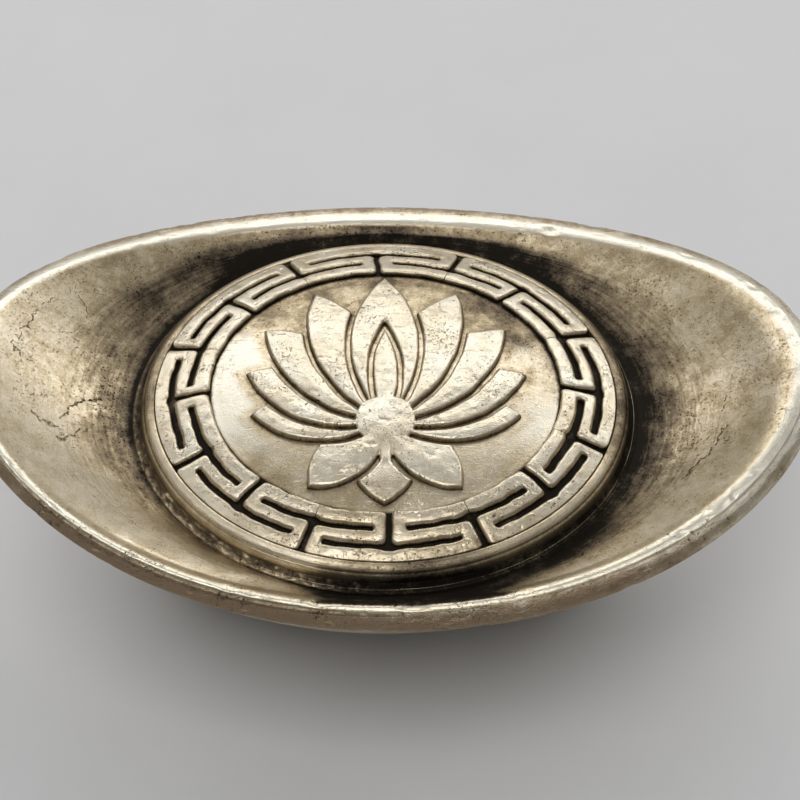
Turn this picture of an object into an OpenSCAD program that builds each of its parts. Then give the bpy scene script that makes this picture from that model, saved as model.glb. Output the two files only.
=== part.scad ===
// Boat-shaped silver ingot with a fret-bordered boss, built up from soldered sheet.
// Its long axis lies along X, its front faces -Y and its foot rests on Z = 0.
// Sizes are in millimetres.

/* [Overall] */
// Length over the tips of the rim
length = 85; // [76:1:110]
// Width over the rim at mid-length
width = 55; // [50:1:62]
// Height of the rim at mid-length
mid_h = 25; // [20:0.5:34]
// Rise of the wing tips above the rim at mid-length
wing_rise = 6.5; // [3:0.5:10]

/* [Rim] */
// Width of the bright lip that laps over the edge of the hull
lip_w = 1.3; // [1:0.1:2]
// Width of the brown wire that goes round outside the lip
wire_w = 1.7; // [1.2:0.1:2.4]
// Height of the wire
wire_h = 2.2; // [1.8:0.1:3.2]
// Fall of the wire's top towards its outer edge
wire_fall = 0.3; // [0.1:0.1:0.5]
// Rounding of the wire's outer corners
wire_round = 0.5; // [0.2:0.1:0.7]

/* [Sheet] */
// Thickness of the hull wall, which the lip covers
hull_t = 1.2; // [0.8:0.1:1.3]
// Thickness of the trough sheet
pan_t = 1; // [0.7:0.1:1.4]
// Thickness of the cap sheet
cap_t = 1.2; // [0.8:0.1:1.6]
// Gap that solder fills between pieces
joint_gap = 0.03; // [0.02:0.01:0.05]

/* [Foot] */
// Length of the foot
foot_l = 46; // [38:1:54]
// Width of the foot
foot_w = 23; // [18:1:28]
// Thickness of the plate that closes the foot
foot_t = 1.4; // [1:0.1:2]
// How far the plate's spigot stands up inside the hull
spigot_h = 1.2; // [0.8:0.1:2]

/* [Boss] */
// Depth of the boss front to back, for each unit of its length
boss_oval = 0.885; // [0.8:0.005:0.92]
// Narrowest width of the trough between the rim and the boss's solder
trough_w = 2; // [1.6:0.1:3]
// How far the boss's seat lies below the rim at mid-length
seat_drop = 1.8; // [1.2:0.1:3]
// Height of the cap's flat top above the seat
cap_h = 2.2; // [1.8:0.1:3]
// Width of the rounded shoulder outside the fret
shoulder_w = 1.5; // [1.2:0.1:2]
// Width of the solder fillet round the cap
seam_w = 0.9; // [0.5:0.1:1.2]
// Height of the solder fillet
seam_h = 0.8; // [0.5:0.1:1]
// Length of the collar that holds the cap in the trough sheet
collar_h = 2; // [1.6:0.1:3]

/* [Fret] */
// Number of fret links
link_count = 8; // [6:2:10]
// Height of the fret above the cap
fret_h = 0.9; // [0.5:0.1:1.2]
// Width of the outer bar
outer_bar = 1.4; // [1:0.05:1.6]
// Width of the middle bar
middle_bar = 1.3; // [1:0.05:1.6]
// Width of the inner bar
inner_bar = 1.65; // [1:0.05:1.8]
// Width of the slots and grooves
slot_w = 0.6; // [0.4:0.05:0.8]

/* [Flower] */
// Height of the flower above the cap
flower_h = 0.9; // [0.5:0.1:1.2]
// Width of the tall centre petal
petal_w = 6.8; // [5:0.2:8]
// Width of the middle one of the low petals
low_petal_w = 6.2; // [5:0.2:7]
// Width of the grooves between petals
petal_gap = 0.55; // [0.4:0.05:0.8]
// Radius of the calyx that joins the petals
calyx_r = 3; // [2.6:0.1:3.4]
// Width of the stalk below the calyx
stalk_w = 1.1; // [0.8:0.1:1.6]
// Place of the calyx in front of or behind the boss's middle
flower_root = -5; // [-6:0.1:-3]
// Clearance between the petal tips and the fret
flower_clear = 0.9; // [0.4:0.1:2]

/* [Hidden] */
facets = 96;
curve_fn = 96;
scoop_rows = 7;
hull_rows = 7;
shoulder_rows = 6;
arc_step = 3;
// Powers that shape the sweep of the rim, the trough's slope and the hull's flare
wing_power = 2.37;
scoop_power = 1.5;
flare_power = 0.85;

silver = "#b9ad97";
worn_silver = "#d8cfbd";
dark_silver = "#6d6253";
copper_brown = "#7a674f";

angles = [for (i = [0 : facets - 1]) 360 * i / facets];
rim_w = lip_w + wire_w;
seat_z = mid_h - seat_drop;
land_z = seat_z + cap_h;
boss_ry = width / 2 - rim_w - trough_w - seam_w;
boss_rx = boss_ry / boss_oval;
fret_outer = boss_rx - shoulder_w;
collar_rx = fret_outer;
fret_width = outer_bar + middle_bar + inner_bar + 2 * slot_w;
fret_inner = fret_outer - fret_width;
link_angle = 360 / link_count;
field_ry = fret_inner * boss_oval;
hull_bottom = foot_t + joint_gap;

// The tall and low petals reach to the clearance inside the fret
tall_petal = field_ry - flower_clear - flower_root;
low_petal = field_ry - flower_clear + flower_root;
// Pairs of petals from the front to the back: tilt, then length and width against the largest one
upper_pairs = [
    [0, 0.6, 0.36], [0, 1, 1], [23, 0.96, 0.97], [45, 0.88, 0.97], [66, 0.78, 0.92], [86, 0.68, 0.82]
];
lower_pairs = [[136, 1.12, 0.85], [180, 1, 1]];
// How far down the middle low petal the stalk reaches
stalk_reach = 0.7;

link_names = [for (i = [1 : link_count]) str("fret_link_", i)];

// Height of the rim at an angle of its oval
function rim_z(a) = mid_h + wing_rise * pow(abs(cos(a)), wing_power);

// A flat oval row of points
function oval_row(rx, ry, z) = [for (a = angles) [rx * cos(a), ry * sin(a), z]];

// An oval row of the boss, drawn by its half-length
function boss_row(r, z) = oval_row(r, r * boss_oval, z);

// A row that follows the rim, set in from its outer edge and below its top
function rim_row(inset, drop) = [
    for (a = angles)
        [(length / 2 - inset) * cos(a), (width / 2 - inset) * sin(a), rim_z(a) - drop]
];

// A row between two others, part of the way across and part of the way up
function between(from, to, across, up) = [
    for (i = [0 : facets - 1])
        let (p = from[i], q = to[i])
            [p.x + (q.x - p.x) * across, p.y + (q.y - p.y) * across, p.z + (q.z - p.z) * up]
];

// Triangles between one row of points and the next
function band_faces(lower, upper) = [
    for (i = [0 : facets - 1])
        let (j = (i + 1) % facets, a = lower * facets, b = upper * facets)
            each [[a + i, b + i, b + j], [a + i, b + j, a + j]]
];

// A solid ring whose section goes once round the rows
module ring_solid(rows) {
    n = len(rows);
    faces = [for (k = [0 : n - 1]) each band_faces(k, (k + 1) % n)];
    polyhedron([for (row = rows) each row], faces, convexity = 6);
}

// A solid that is closed by a flat face inside its first row and its last row
module stack_solid(rows) {
    n = len(rows);
    sides = [for (k = [0 : n - 2]) each band_faces(k, k + 1)];
    first = [for (i = [0 : facets - 1]) i];
    last = [for (i = [facets - 1 : -1 : 0]) (n - 1) * facets + i];
    polyhedron([for (row = rows) each row], concat(sides, [first, last]), convexity = 6);
}

// Rows of the hull from its foot up to the wire, moved inwards by the wall
function hull_side(inset) =
    let (
        bottom = oval_row(foot_l / 2 - inset, foot_w / 2 - inset, hull_bottom),
        top = rim_row(wire_w + joint_gap + inset, wire_h)
    )
        [for (k = [0 : hull_rows]) let (s = k / hull_rows) between(bottom, top, pow(s, flare_power), s)];

// Flared boat wall, open above for the trough and below for the foot plate
module hull_wall() {
    edge_drop = pan_t + joint_gap;
    outside = concat(hull_side(0), [rim_row(wire_w + joint_gap, edge_drop)]);
    inside = concat(hull_side(hull_t), [rim_row(wire_w + joint_gap + hull_t, edge_drop)]);
    down_inside = [for (k = [len(inside) - 1 : -1 : 0]) inside[k]];
    color(dark_silver)
        ring_solid(concat(outside, down_inside));
}

// Plate that closes the foot, with a spigot that fits inside the hull
module foot_plate() {
    fit = hull_t + joint_gap;
    color(dark_silver)
        stack_solid([
            oval_row(foot_l / 2, foot_w / 2, 0),
            oval_row(foot_l / 2, foot_w / 2, foot_t),
            oval_row(foot_l / 2 - fit, foot_w / 2 - fit, foot_t),
            oval_row(foot_l / 2 - fit, foot_w / 2 - fit, foot_t + spigot_h)
        ]);
}

// Brown wire round the outside of the hull's mouth, flush with the lip
module rim_wire() {
    color(copper_brown)
        ring_solid([
            rim_row(0, wire_h - wire_round),
            rim_row(0, wire_fall + wire_round),
            rim_row(wire_round, wire_fall),
            rim_row(wire_w, 0),
            rim_row(wire_w, wire_h),
            rim_row(wire_round, wire_h)
        ]);
}

// Saddle-shaped trough sheet: a flat seat with a hole for the boss, a scoop and a lip
module trough_pan() {
    seat_r = boss_rx + seam_w / boss_oval;
    seat_edge = boss_row(seat_r, seat_z);
    lip_edge = rim_row(rim_w, 0);
    scoop = [
        for (k = [1 : scoop_rows])
            let (t = k / scoop_rows)
                between(seat_edge, lip_edge, t, pow(t, scoop_power))
    ];
    under_edge = boss_row(seat_r, seat_z - pan_t);
    hull_inset = wire_w + 2 * joint_gap + hull_t;
    under_lip = rim_row(max(rim_w, hull_inset), pan_t);
    under = [
        for (k = [scoop_rows : -1 : 1])
            let (t = k / scoop_rows)
                between(under_edge, under_lip, t, pow(t, scoop_power))
    ];
    color(silver)
        ring_solid(concat(
            [boss_row(collar_rx, seat_z), seat_edge],
            scoop,
            [rim_row(wire_w + joint_gap, 0), rim_row(wire_w + joint_gap, pan_t)],
            under,
            [under_edge, boss_row(collar_rx, seat_z - pan_t)]
        ));
}

// Struck cap with a flat field, a rounded shoulder and a collar through the trough sheet
module boss_cap() {
    wall_top = seat_z + seam_h;
    collar_out = collar_rx - joint_gap / boss_oval;
    collar_in = collar_out - cap_t;
    shoulder = [
        for (k = [0 : shoulder_rows])
            let (a = 90 * k / shoulder_rows)
                boss_row(fret_outer + shoulder_w * cos(a), wall_top + (land_z - wall_top) * sin(a))
    ];
    color(silver)
        stack_solid(concat(
            [boss_row(collar_in, land_z - cap_t), boss_row(collar_in, seat_z - collar_h)],
            [boss_row(collar_out, seat_z - collar_h), boss_row(collar_out, seat_z + joint_gap)],
            [boss_row(boss_rx, seat_z + joint_gap)],
            shoulder
        ));
}

// Fillet of solder in the corner between the cap and its seat
module boss_solder() {
    near = boss_rx + joint_gap / boss_oval;
    far = near + seam_w;
    low = seat_z + joint_gap;
    color(dark_silver)
        ring_solid([
            boss_row(near, low),
            boss_row(far - joint_gap, low),
            boss_row(near + seam_w / 3, low + seam_h / 3),
            boss_row(near, low + seam_h - joint_gap)
        ]);
}

// Corners of one key as radius and angle, from the middle of its link out to one end and back
function key_corners(side) =
    let (
        mean_r = fret_inner + fret_width / 2,
        groove = angle_of(slot_w / 2, mean_r),
        web = angle_of(middle_bar, mean_r),
        finish = link_angle / 2,
        end = finish - groove,
        outer_in = fret_outer - outer_bar,
        middle_out = outer_in - slot_w,
        middle_in = middle_out - middle_bar,
        inner_out = middle_in - slot_w,
        butt = finish - angle_of(joint_gap, fret_inner)
    )
        [for (p = [
            [fret_outer, 0], [fret_outer, end], [middle_in, end], [middle_in, groove + web],
            [inner_out, groove + web], [inner_out, butt], [fret_inner, butt], [fret_inner, groove],
            [middle_out, groove], [middle_out, end - web], [outer_in, end - web], [outer_in, 0]
        ]) [p[0], side * p[1]]];

// Angle that a short width takes up at a radius
function angle_of(w, r) = w / r * 180 / PI;

// Points from one corner to the next, round the boss where both have the same radius
function fret_run(p, q) =
    let (steps = p[0] == q[0] ? ceil(abs(q[1] - p[1]) / arc_step) : 1)
        [for (k = [0 : steps - 1]) let (t = k / steps) [p[0], p[1] + (q[1] - p[1]) * t]];

// Two mirrored keys that share an outer bar, at one place round the boss
module fret_link(i) {
    middle = link_angle * (i - 1);
    right = key_corners(1);
    left = key_corners(-1);
    corners = concat(right, [for (k = [len(left) - 1 : -1 : 0]) left[k]]);
    n = len(corners);
    path = [for (k = [0 : n - 1]) each fret_run(corners[k], corners[(k + 1) % n])];
    color(worn_silver)
        translate([0, 0, land_z + joint_gap])
            linear_extrude(fret_h)
                polygon([for (p = path) [p[0] * sin(middle + p[1]), p[0] * boss_oval * cos(middle + p[1])]]);
}

// Pointed petal that stands on the origin, made wider all round by grow
module petal(long, wide, grow = 0) {
    r = (long * long + wide * wide) / (4 * wide);
    intersection_for (side = [-1, 1])
        translate([side * (r - wide / 2), long / 2])
            circle(r + grow, $fn = curve_fn);
}

// The petals on both sides of the flower, given as tilt, length and width
module petal_pair(shape, long, wide, grow = 0) {
    for (side = [-1, 1])
        rotate(side * shape[0])
            petal(long * shape[1], wide * shape[2], grow);
}

// A spray of petals in which each pair lies behind the pairs before it
module spray(pairs, long, wide) {
    for (k = [0 : len(pairs) - 1])
        difference() {
            petal_pair(pairs[k], long, wide);
            for (j = [0 : 1 : k - 1])
                petal_pair(pairs[j], long, wide, petal_gap);
        }
}

// Lotus flower in one flat piece, joined at its calyx, on the field inside the fret
module lotus_ornament() {
    color(worn_silver)
        translate([0, flower_root, land_z + joint_gap])
            linear_extrude(flower_h)
                union() {
                    spray(upper_pairs, tall_petal, petal_w);
                    difference() {
                        spray(lower_pairs, low_petal, low_petal_w);
                        for (shape = upper_pairs)
                            petal_pair(shape, tall_petal, petal_w, petal_gap);
                    }
                    circle(calyx_r, $fn = curve_fn);
                    translate([-stalk_w / 2, -low_petal * stalk_reach])
                        square([stalk_w, low_petal * stalk_reach]);
                }
}

hull_wall();
foot_plate();
rim_wire();
trough_pan();
boss_cap();
boss_solder();
lotus_ornament();
for (i = [1 : link_count]) fret_link(i);
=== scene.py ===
"""Boat-shaped silver ingot: a hull and foot, a brown rim wire, a trough sheet and a soldered boss.

The boss carries eight fret links and a lotus. Lengths are in metres, the long axis lies along X,
the front faces -Y and the foot rests on Z = 0.
"""

import bpy
import numpy as np
from bpy.props import FloatProperty, FloatVectorProperty, PointerProperty
from mathutils import Euler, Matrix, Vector


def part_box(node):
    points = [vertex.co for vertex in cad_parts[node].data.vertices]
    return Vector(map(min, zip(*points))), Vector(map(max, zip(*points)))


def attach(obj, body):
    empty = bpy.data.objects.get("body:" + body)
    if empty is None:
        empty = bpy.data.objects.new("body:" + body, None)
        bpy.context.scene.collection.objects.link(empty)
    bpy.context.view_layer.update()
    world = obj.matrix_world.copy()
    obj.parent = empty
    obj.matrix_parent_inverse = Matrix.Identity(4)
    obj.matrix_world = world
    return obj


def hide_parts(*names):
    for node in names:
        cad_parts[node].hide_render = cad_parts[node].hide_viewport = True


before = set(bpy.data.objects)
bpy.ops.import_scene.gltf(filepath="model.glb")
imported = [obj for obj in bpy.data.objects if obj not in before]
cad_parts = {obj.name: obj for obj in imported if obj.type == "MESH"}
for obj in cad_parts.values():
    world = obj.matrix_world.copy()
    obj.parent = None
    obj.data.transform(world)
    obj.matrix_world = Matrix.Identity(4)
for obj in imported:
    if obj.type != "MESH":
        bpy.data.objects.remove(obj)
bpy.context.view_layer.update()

bl_info = {
    "name": "Silver Boat Ingot",
    "version": (1, 0, 0),
    "blender": (4, 5, 0),
    "location": "View3D > Sidebar > Ingot",
    "description": "Builds the dressed surfaces of a boat-shaped silver ingot on its packed frame",
    "category": "Add Mesh",
}

MM = 0.001
LINK_COUNT = 8

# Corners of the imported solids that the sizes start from
RIM_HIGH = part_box("rim_wire")[1]
PAN_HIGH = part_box("trough_pan")[1]
HULL_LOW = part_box("hull_wall")[0]
FOOT_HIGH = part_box("foot_plate")[1]
CAP_LOW, CAP_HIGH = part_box("boss_cap")
SEAM_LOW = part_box("boss_solder")[0]
LINK_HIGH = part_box("fret_link_1")[1]
FLOWER_LOW, FLOWER_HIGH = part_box("lotus_ornament")

# Powers that shape the sweep of the rim and the hull's flare
WING_POWER = 2.37
FLARE_POWER = 0.85

# Petals from the front to the back: tilt in degrees, length and width against the largest one
UPPER_PETALS = (
    (0, 0.6, 0.36), (0, 1, 1), (23, 0.96, 0.97), (45, 0.88, 0.97), (66, 0.78, 0.92), (86, 0.68, 0.82)
)
LOWER_PETALS = ((136, 1.12, 0.85), (180, 1, 1))
# The stalk's length against that of the middle low petal
STALK_REACH = 0.7


def length(name, description, default):
    """A size in metres that a user may change."""
    return FloatProperty(name=name, description=description, default=default, unit="LENGTH", precision=5)


def tint(name, description, default):
    """A colour that a user may change."""
    return FloatVectorProperty(
        name=name, description=description, default=default, subtype="COLOR", min=0, max=1
    )


class IngotSizes(bpy.types.PropertyGroup):
    """Sizes of the ingot's pieces."""

    half_length: length("Half length", "From the middle to the tip of the rim", RIM_HIGH.x)
    half_width: length("Half width", "From the middle to the rim at mid-length", RIM_HIGH.y)
    tip_height: length("Tip height", "Height of the rim at the wing tips", PAN_HIGH.z)
    wing_rise: length("Wing rise", "Rise of the tips above the rim at mid-length", 6.5 * MM)
    lip: length("Lip", "Width of the bright lip inside the wire", 1.3 * MM)
    wire: length("Wire", "Width of the brown wire outside the lip", 1.7 * MM)
    wire_height: length("Wire height", "Height of the brown wire", 2.2 * MM)
    sheet: length("Sheet", "Thickness of the trough sheet", 1 * MM)
    wall: length("Wall", "Thickness of the hull wall", 1.2 * MM)
    gap: length("Gap", "Gap between joined pieces", 0.03 * MM)
    foot_half_length: length("Foot half length", "From the middle to the foot's end", FOOT_HIGH.x)
    foot_half_width: length("Foot half width", "From the middle to the foot's side", FOOT_HIGH.y)
    boss_half_length: length("Boss half length", "From the middle to the boss's end", CAP_HIGH.x)
    boss_half_width: length("Boss half width", "From the middle to the boss's front", CAP_HIGH.y)
    seat_height: length("Seat height", "Height of the sheet that the boss stands on", SEAM_LOW.z)
    land_height: length("Land height", "Height of the boss's flat top", CAP_HIGH.z)
    shoulder: length("Shoulder", "Width of the rounded shoulder outside the fret", 1.5 * MM)
    seam: length("Seam", "Width of the solder round the boss", 0.9 * MM)
    seam_height: length("Seam height", "Height of the solder round the boss", 0.8 * MM)
    fret_height: length("Fret height", "Height of the fret above the land", LINK_HIGH.z - CAP_HIGH.z)
    outer_bar: length("Outer bar", "Width of the fret's outer bar", 1.4 * MM)
    middle_bar: length("Middle bar", "Width of the fret's middle bar", 1.3 * MM)
    inner_bar: length("Inner bar", "Width of the fret's inner bar", 1.65 * MM)
    slot: length("Slot", "Width of the fret's slots and grooves", 0.6 * MM)
    flower_height: length("Flower height", "Height of the flower over the land", FLOWER_HIGH.z - CAP_HIGH.z)
    flower_root: length("Flower root", "Place of the calyx along Y", -5 * MM)
    tall_petal: length("Tall petal", "Length of the tall centre petal", 19.46 * MM)
    tall_petal_width: length("Tall petal width", "Width of the tall centre petal", 6.8 * MM)
    low_petal: length("Low petal", "Length of the middle one of the low petals", 9.46 * MM)
    low_petal_width: length("Low petal width", "Width of the middle one of the low petals", 6.2 * MM)
    petal_gap: length("Petal gap", "Width of the grooves between petals", 0.55 * MM)
    calyx: length("Calyx", "Radius of the calyx that joins the petals", 3 * MM)
    stalk: length("Stalk", "Width of the stalk", 1.1 * MM)


class IngotColours(bpy.types.PropertyGroup):
    """Colours of the ingot's metals and of the floor."""

    silver: tint("Silver", "Satin silver of the trough and boss", (0.68, 0.595, 0.455))
    worn: tint("Worn silver", "Rubbed silver on edges and raised work", (0.73, 0.685, 0.57))
    tan: tint("Tan tarnish", "Light tarnish on the silver", (0.45, 0.36, 0.22))
    umber: tint("Umber tarnish", "Heavy brown tarnish round the boss", (0.15, 0.115, 0.075))
    brown: tint("Rim brown", "Brown of the rim wire", (0.33, 0.242, 0.155))
    patina: tint("Patina", "Black-brown patina in the hollows", (0.012, 0.0095, 0.0065))
    floor: tint("Floor", "Pale floor", (0.68, 0.677, 0.68))


def lattice(i, j, k, seed):
    """A repeatable number from 0 to 1 at each whole-number point: its mixed and masked bits."""
    bits = (i * 73856093) ^ (j * 19349663) ^ (k * 83492791) ^ (seed * 26544357)
    bits = (bits ^ (bits >> 13)) * 1274126177
    bits = (bits ^ (bits >> 16)) * 668265263
    return ((bits ^ (bits >> 15)) & 0xFFFF) / 0xFFFF


# The lattice is turned, so that its rows don't lie along the part's axes
LATTICE_TURN = np.array(Euler((0.6, 0.9, 0.4)).to_matrix())


def cloud(points, size, seed):
    """Smooth noise from -1 to 1 with lumps of a size: lattice values blended between eight corners."""
    scaled = np.asarray(points) @ LATTICE_TURN / size + 1000
    cell = np.floor(scaled).astype(np.int64)
    part = scaled - cell
    part = part * part * (3 - 2 * part)
    total = 0
    for corner in np.ndindex(2, 2, 2):
        weight = np.prod(np.where(np.array(corner) == 1, part, 1 - part), axis=-1)
        total = total + weight * lattice(*np.moveaxis(cell + corner, -1, 0), seed)
    return 2 * total - 1


def rough_cloud(points, size, seed):
    """Noise with three sizes of lump, each half as large and half as strong as the one before."""
    return (cloud(points, size, seed) + cloud(points, size / 2, seed + 1) / 2
            + cloud(points, size / 4, seed + 2) / 4) / 1.75


def uneven(points, waves, seed):
    """Unevenness in waves, each with a height and a size in mm and a seed of its own."""
    return sum(height * MM * cloud(points, size * MM, seed + k) for k, (height, size) in enumerate(waves))


def ease(value, low, high):
    """A smooth step from 0 at low to 1 at high."""
    part = np.clip((value - low) / (high - low), 0, 1)
    return part * part * (3 - 2 * part)


def bell(value, middle, spread):
    """A rounded bump of height 1 at the middle that dies away over the spread."""
    return np.exp(-((value - middle) / spread) ** 2)


def by_bearing(angle, bearings, values):
    """Values given at a few bearings in degrees, joined round the whole turn."""
    return np.interp(np.degrees(angle), bearings, values, period=360)


def turn(count):
    """Angles of one turn, from the right-hand tip towards the back."""
    return np.arange(count) * (2 * np.pi / count)


def stack(*parts):
    """Points from arrays of X, Y and Z that are first spread to one shape."""
    return np.stack(np.broadcast_arrays(*parts), axis=-1)


def oval_points(half_length, half_width, angle, height):
    """Points round ovals."""
    return stack(half_length * np.cos(angle), half_width * np.sin(angle), height)


def between(low, high, across, up):
    """Points from low to high ones: by one share across and by another one up."""
    return low + (high - low) * stack(across, across, up)


def rim_height(sizes, angle):
    """Height of the rim: that at mid-length plus a rise that goes with a power of the cosine."""
    return sizes.tip_height - sizes.wing_rise * (1 - np.abs(np.cos(angle)) ** WING_POWER)


def rim_points(sizes, angle, inset, drop):
    """Points that follow the rim's oval, set in from its outer edge and below its top."""
    height = rim_height(sizes, angle) - drop
    return oval_points(sizes.half_length - inset, sizes.half_width - inset, angle, height)


def boss_oval(sizes):
    """The boss's width against its length."""
    return sizes.boss_half_width / sizes.boss_half_length


def land_edge(sizes):
    """Half-length of the boss's land, which ends at the shoulder."""
    return sizes.boss_half_length - sizes.shoulder


def field_edge(sizes):
    """Half-length of the boss's field, which ends at the fret's three bars and two slots."""
    return land_edge(sizes) - sizes.outer_bar - sizes.middle_bar - sizes.inner_bar - 2 * sizes.slot


def boss_points(sizes, angle, radius, height):
    """Points on ovals of the boss's proportion, drawn by their half-length."""
    return oval_points(radius, radius * boss_oval(sizes), angle, height)


# How far the edge of the boss's land lies below its nominal height, and how far its middle stands above
# that edge, by a power of the distance
EDGE_FALL = 0.4 * MM
CROWN = 2.5 * MM
CROWN_POWER = 3


def dome_height(sizes, x, y):
    """Height of the boss's domed top: a fall with a power of the oval's distance from its middle."""
    away = np.hypot(x, y / boss_oval(sizes)) / land_edge(sizes)
    return sizes.land_height - EDGE_FALL + CROWN * (1 - away ** CROWN_POWER)


def soften(rows, first, last, passes):
    """Rounds corners of a profile: each row in the range moves to the weighted mean of its neighbours."""
    for _ in range(passes):
        mean = (rows[first - 1:last - 1] + 2 * rows[first:last] + rows[first + 1:last + 1]) / 4
        rows[first:last] = mean
    return rows


def band_faces(rows, around, closed):
    """Quads between neighbouring rows of points, joined round the turn and, if closed, last to first."""
    steps = rows if closed else rows - 1
    row = np.arange(steps)[:, None]
    col = np.arange(around)[None, :]
    here = row * around
    above = (row + 1) % rows * around
    after = (col + 1) % around
    return np.stack([here + col, here + after, above + after, above + col], axis=-1).reshape(-1, 4)


def fan_faces(centre, first, around, flip):
    """Triangles from a pole to the row that starts at a point."""
    col = np.arange(around)
    here, after = first + col, first + (col + 1) % around
    corners = (after, here) if flip else (here, after)
    return np.stack([np.full(around, centre), *corners], axis=-1)


def capped(rows, poles):
    """Points and faces of rows round a turn, closed by one pole at the first row and one at the last."""
    count, around = rows.shape[:2]
    total = count * around
    faces = [
        band_faces(count, around, False),
        fan_faces(total, 0, around, True),
        fan_faces(total + 1, total - around, around, False),
    ]
    return np.concatenate([rows.reshape(-1, 3), poles]), faces


def enclosed(points, faces):
    """Six times the volume inside the faces, positive where they point outwards."""
    total = 0.0
    for block in faces:
        for k in range(1, block.shape[1] - 1):
            a, b, c = points[block[:, 0]], points[block[:, k]], points[block[:, k + 1]]
            total += np.sum(a * np.cross(b, c))
    return total


def make_piece(name, points, faces, marks, material, nodes):
    """Puts points and faces into a smooth mesh with its marks, and sets it on the frame."""
    grid = points.shape[:-1]
    points = points.reshape(-1, 3)
    if enclosed(points, faces) < 0:
        faces = [block[:, ::-1] for block in faces]
    loops = np.concatenate([block.ravel() for block in faces])
    corner_counts = np.concatenate([np.full(len(block), block.shape[1]) for block in faces])
    mesh = bpy.data.meshes.new(name)
    mesh.vertices.add(len(points))
    mesh.vertices.foreach_set("co", points.astype(np.float32).ravel())
    mesh.loops.add(len(loops))
    mesh.polygons.add(len(corner_counts))
    starts = np.cumsum(corner_counts) - corner_counts
    mesh.polygons.foreach_set("loop_start", starts.astype(np.int32))
    mesh.polygons.foreach_set("vertices", loops.astype(np.int32))
    mesh.update(calc_edges=True)
    mesh.validate()
    mesh.shade_smooth()
    for mark, values in marks.items():
        if values.ndim > len(grid):
            layer = mesh.attributes.new(mark, "FLOAT_VECTOR", "POINT")
            layer.data.foreach_set("vector", values.astype(np.float32).ravel())
        else:
            layer = mesh.attributes.new(mark, "FLOAT", "POINT")
            values = np.clip(np.broadcast_to(values, grid), 0, 1)
            layer.data.foreach_set("value", values.astype(np.float32).ravel())
    mesh.materials.append(material)
    piece = bpy.data.objects.new(name, mesh)
    bpy.context.scene.collection.objects.link(piece)
    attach(piece, "root")
    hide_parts(*nodes)


def add_node(tree, kind, inputs=None, **settings):
    """A shader node with its settings, whose inputs are links or plain values."""
    node = tree.nodes.new(kind)
    for key, value in settings.items():
        setattr(node, key, value)
    for key, value in (inputs or {}).items():
        if isinstance(value, bpy.types.NodeSocket):
            tree.links.new(value, node.inputs[key])
        else:
            node.inputs[key].default_value = value
    return node


def noise(tree, vector, scale, detail=4.0, roughness=0.6):
    """Noise with so many lumps to the metre."""
    inputs = {"Vector": vector, "Scale": scale, "Detail": detail, "Roughness": roughness}
    return add_node(tree, "ShaderNodeTexNoise", inputs).outputs["Fac"]


def reckon(tree, operation, first, second=0.0, third=0.0):
    """One step of arithmetic on values."""
    inputs = {0: first, 1: second, 2: third}
    return add_node(tree, "ShaderNodeMath", inputs, operation=operation).outputs[0]


def reckon_vector(tree, operation, first, second, outlet="Vector"):
    """One step of arithmetic on vectors."""
    node = add_node(tree, "ShaderNodeVectorMath", {0: first, 1: second}, operation=operation)
    return node.outputs[outlet]


def step(tree, value, low, high):
    """A smooth step from 0 at low to 1 at high."""
    inputs = {"Value": value, "From Min": low, "From Max": high}
    return add_node(tree, "ShaderNodeMapRange", inputs, interpolation_type="SMOOTHSTEP").outputs[0]


def blend(tree, mask, first, second):
    """The first colour where the mask is 0 and the second where it is 1."""
    inputs = {0: mask, 6: first, 7: second}
    return add_node(tree, "ShaderNodeMix", inputs, data_type="RGBA").outputs[2]


def stretched(tree, vector, turn_by, scale):
    """Coordinates turned about Z and stretched, for marks that lie one way."""
    inputs = {"Vector": vector, "Rotation": (0, 0, turn_by), "Scale": scale}
    return add_node(tree, "ShaderNodeMapping", inputs).outputs[0]


def new_group(name, inputs, outputs):
    """An empty node group with named sockets, and its inner ends."""
    group = bpy.data.node_groups.new(name, "ShaderNodeTree")
    for socket, kind in inputs:
        group.interface.new_socket(socket, in_out="INPUT", socket_type="NodeSocket" + kind)
    for socket, kind in outputs:
        group.interface.new_socket(socket, in_out="OUTPUT", socket_type="NodeSocket" + kind)
    return group, group.nodes.new("NodeGroupInput").outputs, group.nodes.new("NodeGroupOutput").inputs


def shared_group(name, builder):
    """A node group by name, built the first time that it is asked for."""
    return bpy.data.node_groups.get(name) or builder()


def add_group(tree, name, builder, inputs):
    """A node that holds a shared group, whose inputs are links or plain values."""
    return add_node(tree, "ShaderNodeGroup", inputs, node_tree=shared_group(name, builder)).outputs


FINISHES = ("Silver", "Worn", "Tan", "Umber", "Brown", "Patina")
# Where each finish starts and where it covers all, on the scale of grime, rubbing or browning
TAN_STEP = (-0.3, 0.5)
UMBER_STEP = (0.18, 0.72)
BLACK_STEP = (0.56, 1.0)
RUB_STEP = (0.1, 0.9)
# Lumps to the metre in the tarnish, the weight of each size, and how far the whole spreads the grime
BROAD_LUMPS, MIDDLE_LUMPS, FINE_LUMPS = 230.0, 1000.0, 4200.0
BROAD_WEIGHT, MIDDLE_WEIGHT, FINE_WEIGHT = 0.42, 0.4, 0.18
GRIME_SPREAD = 1.5
# Roughness of plain metal, and what the middle lumps, heavy tarnish, rubbing and browning add
PLAIN_ROUGH, MIDDLE_ROUGH, HEAVY_ROUGH, RUBBED_ROUGH, BROWNED_ROUGH = 0.2, 0.24, 0.1, 0.03, 0.06
# How much less metallic heavy tarnish and black patina make the surface
HEAVY_DULL, BLACK_DULL = 0.25, 0.4
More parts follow.
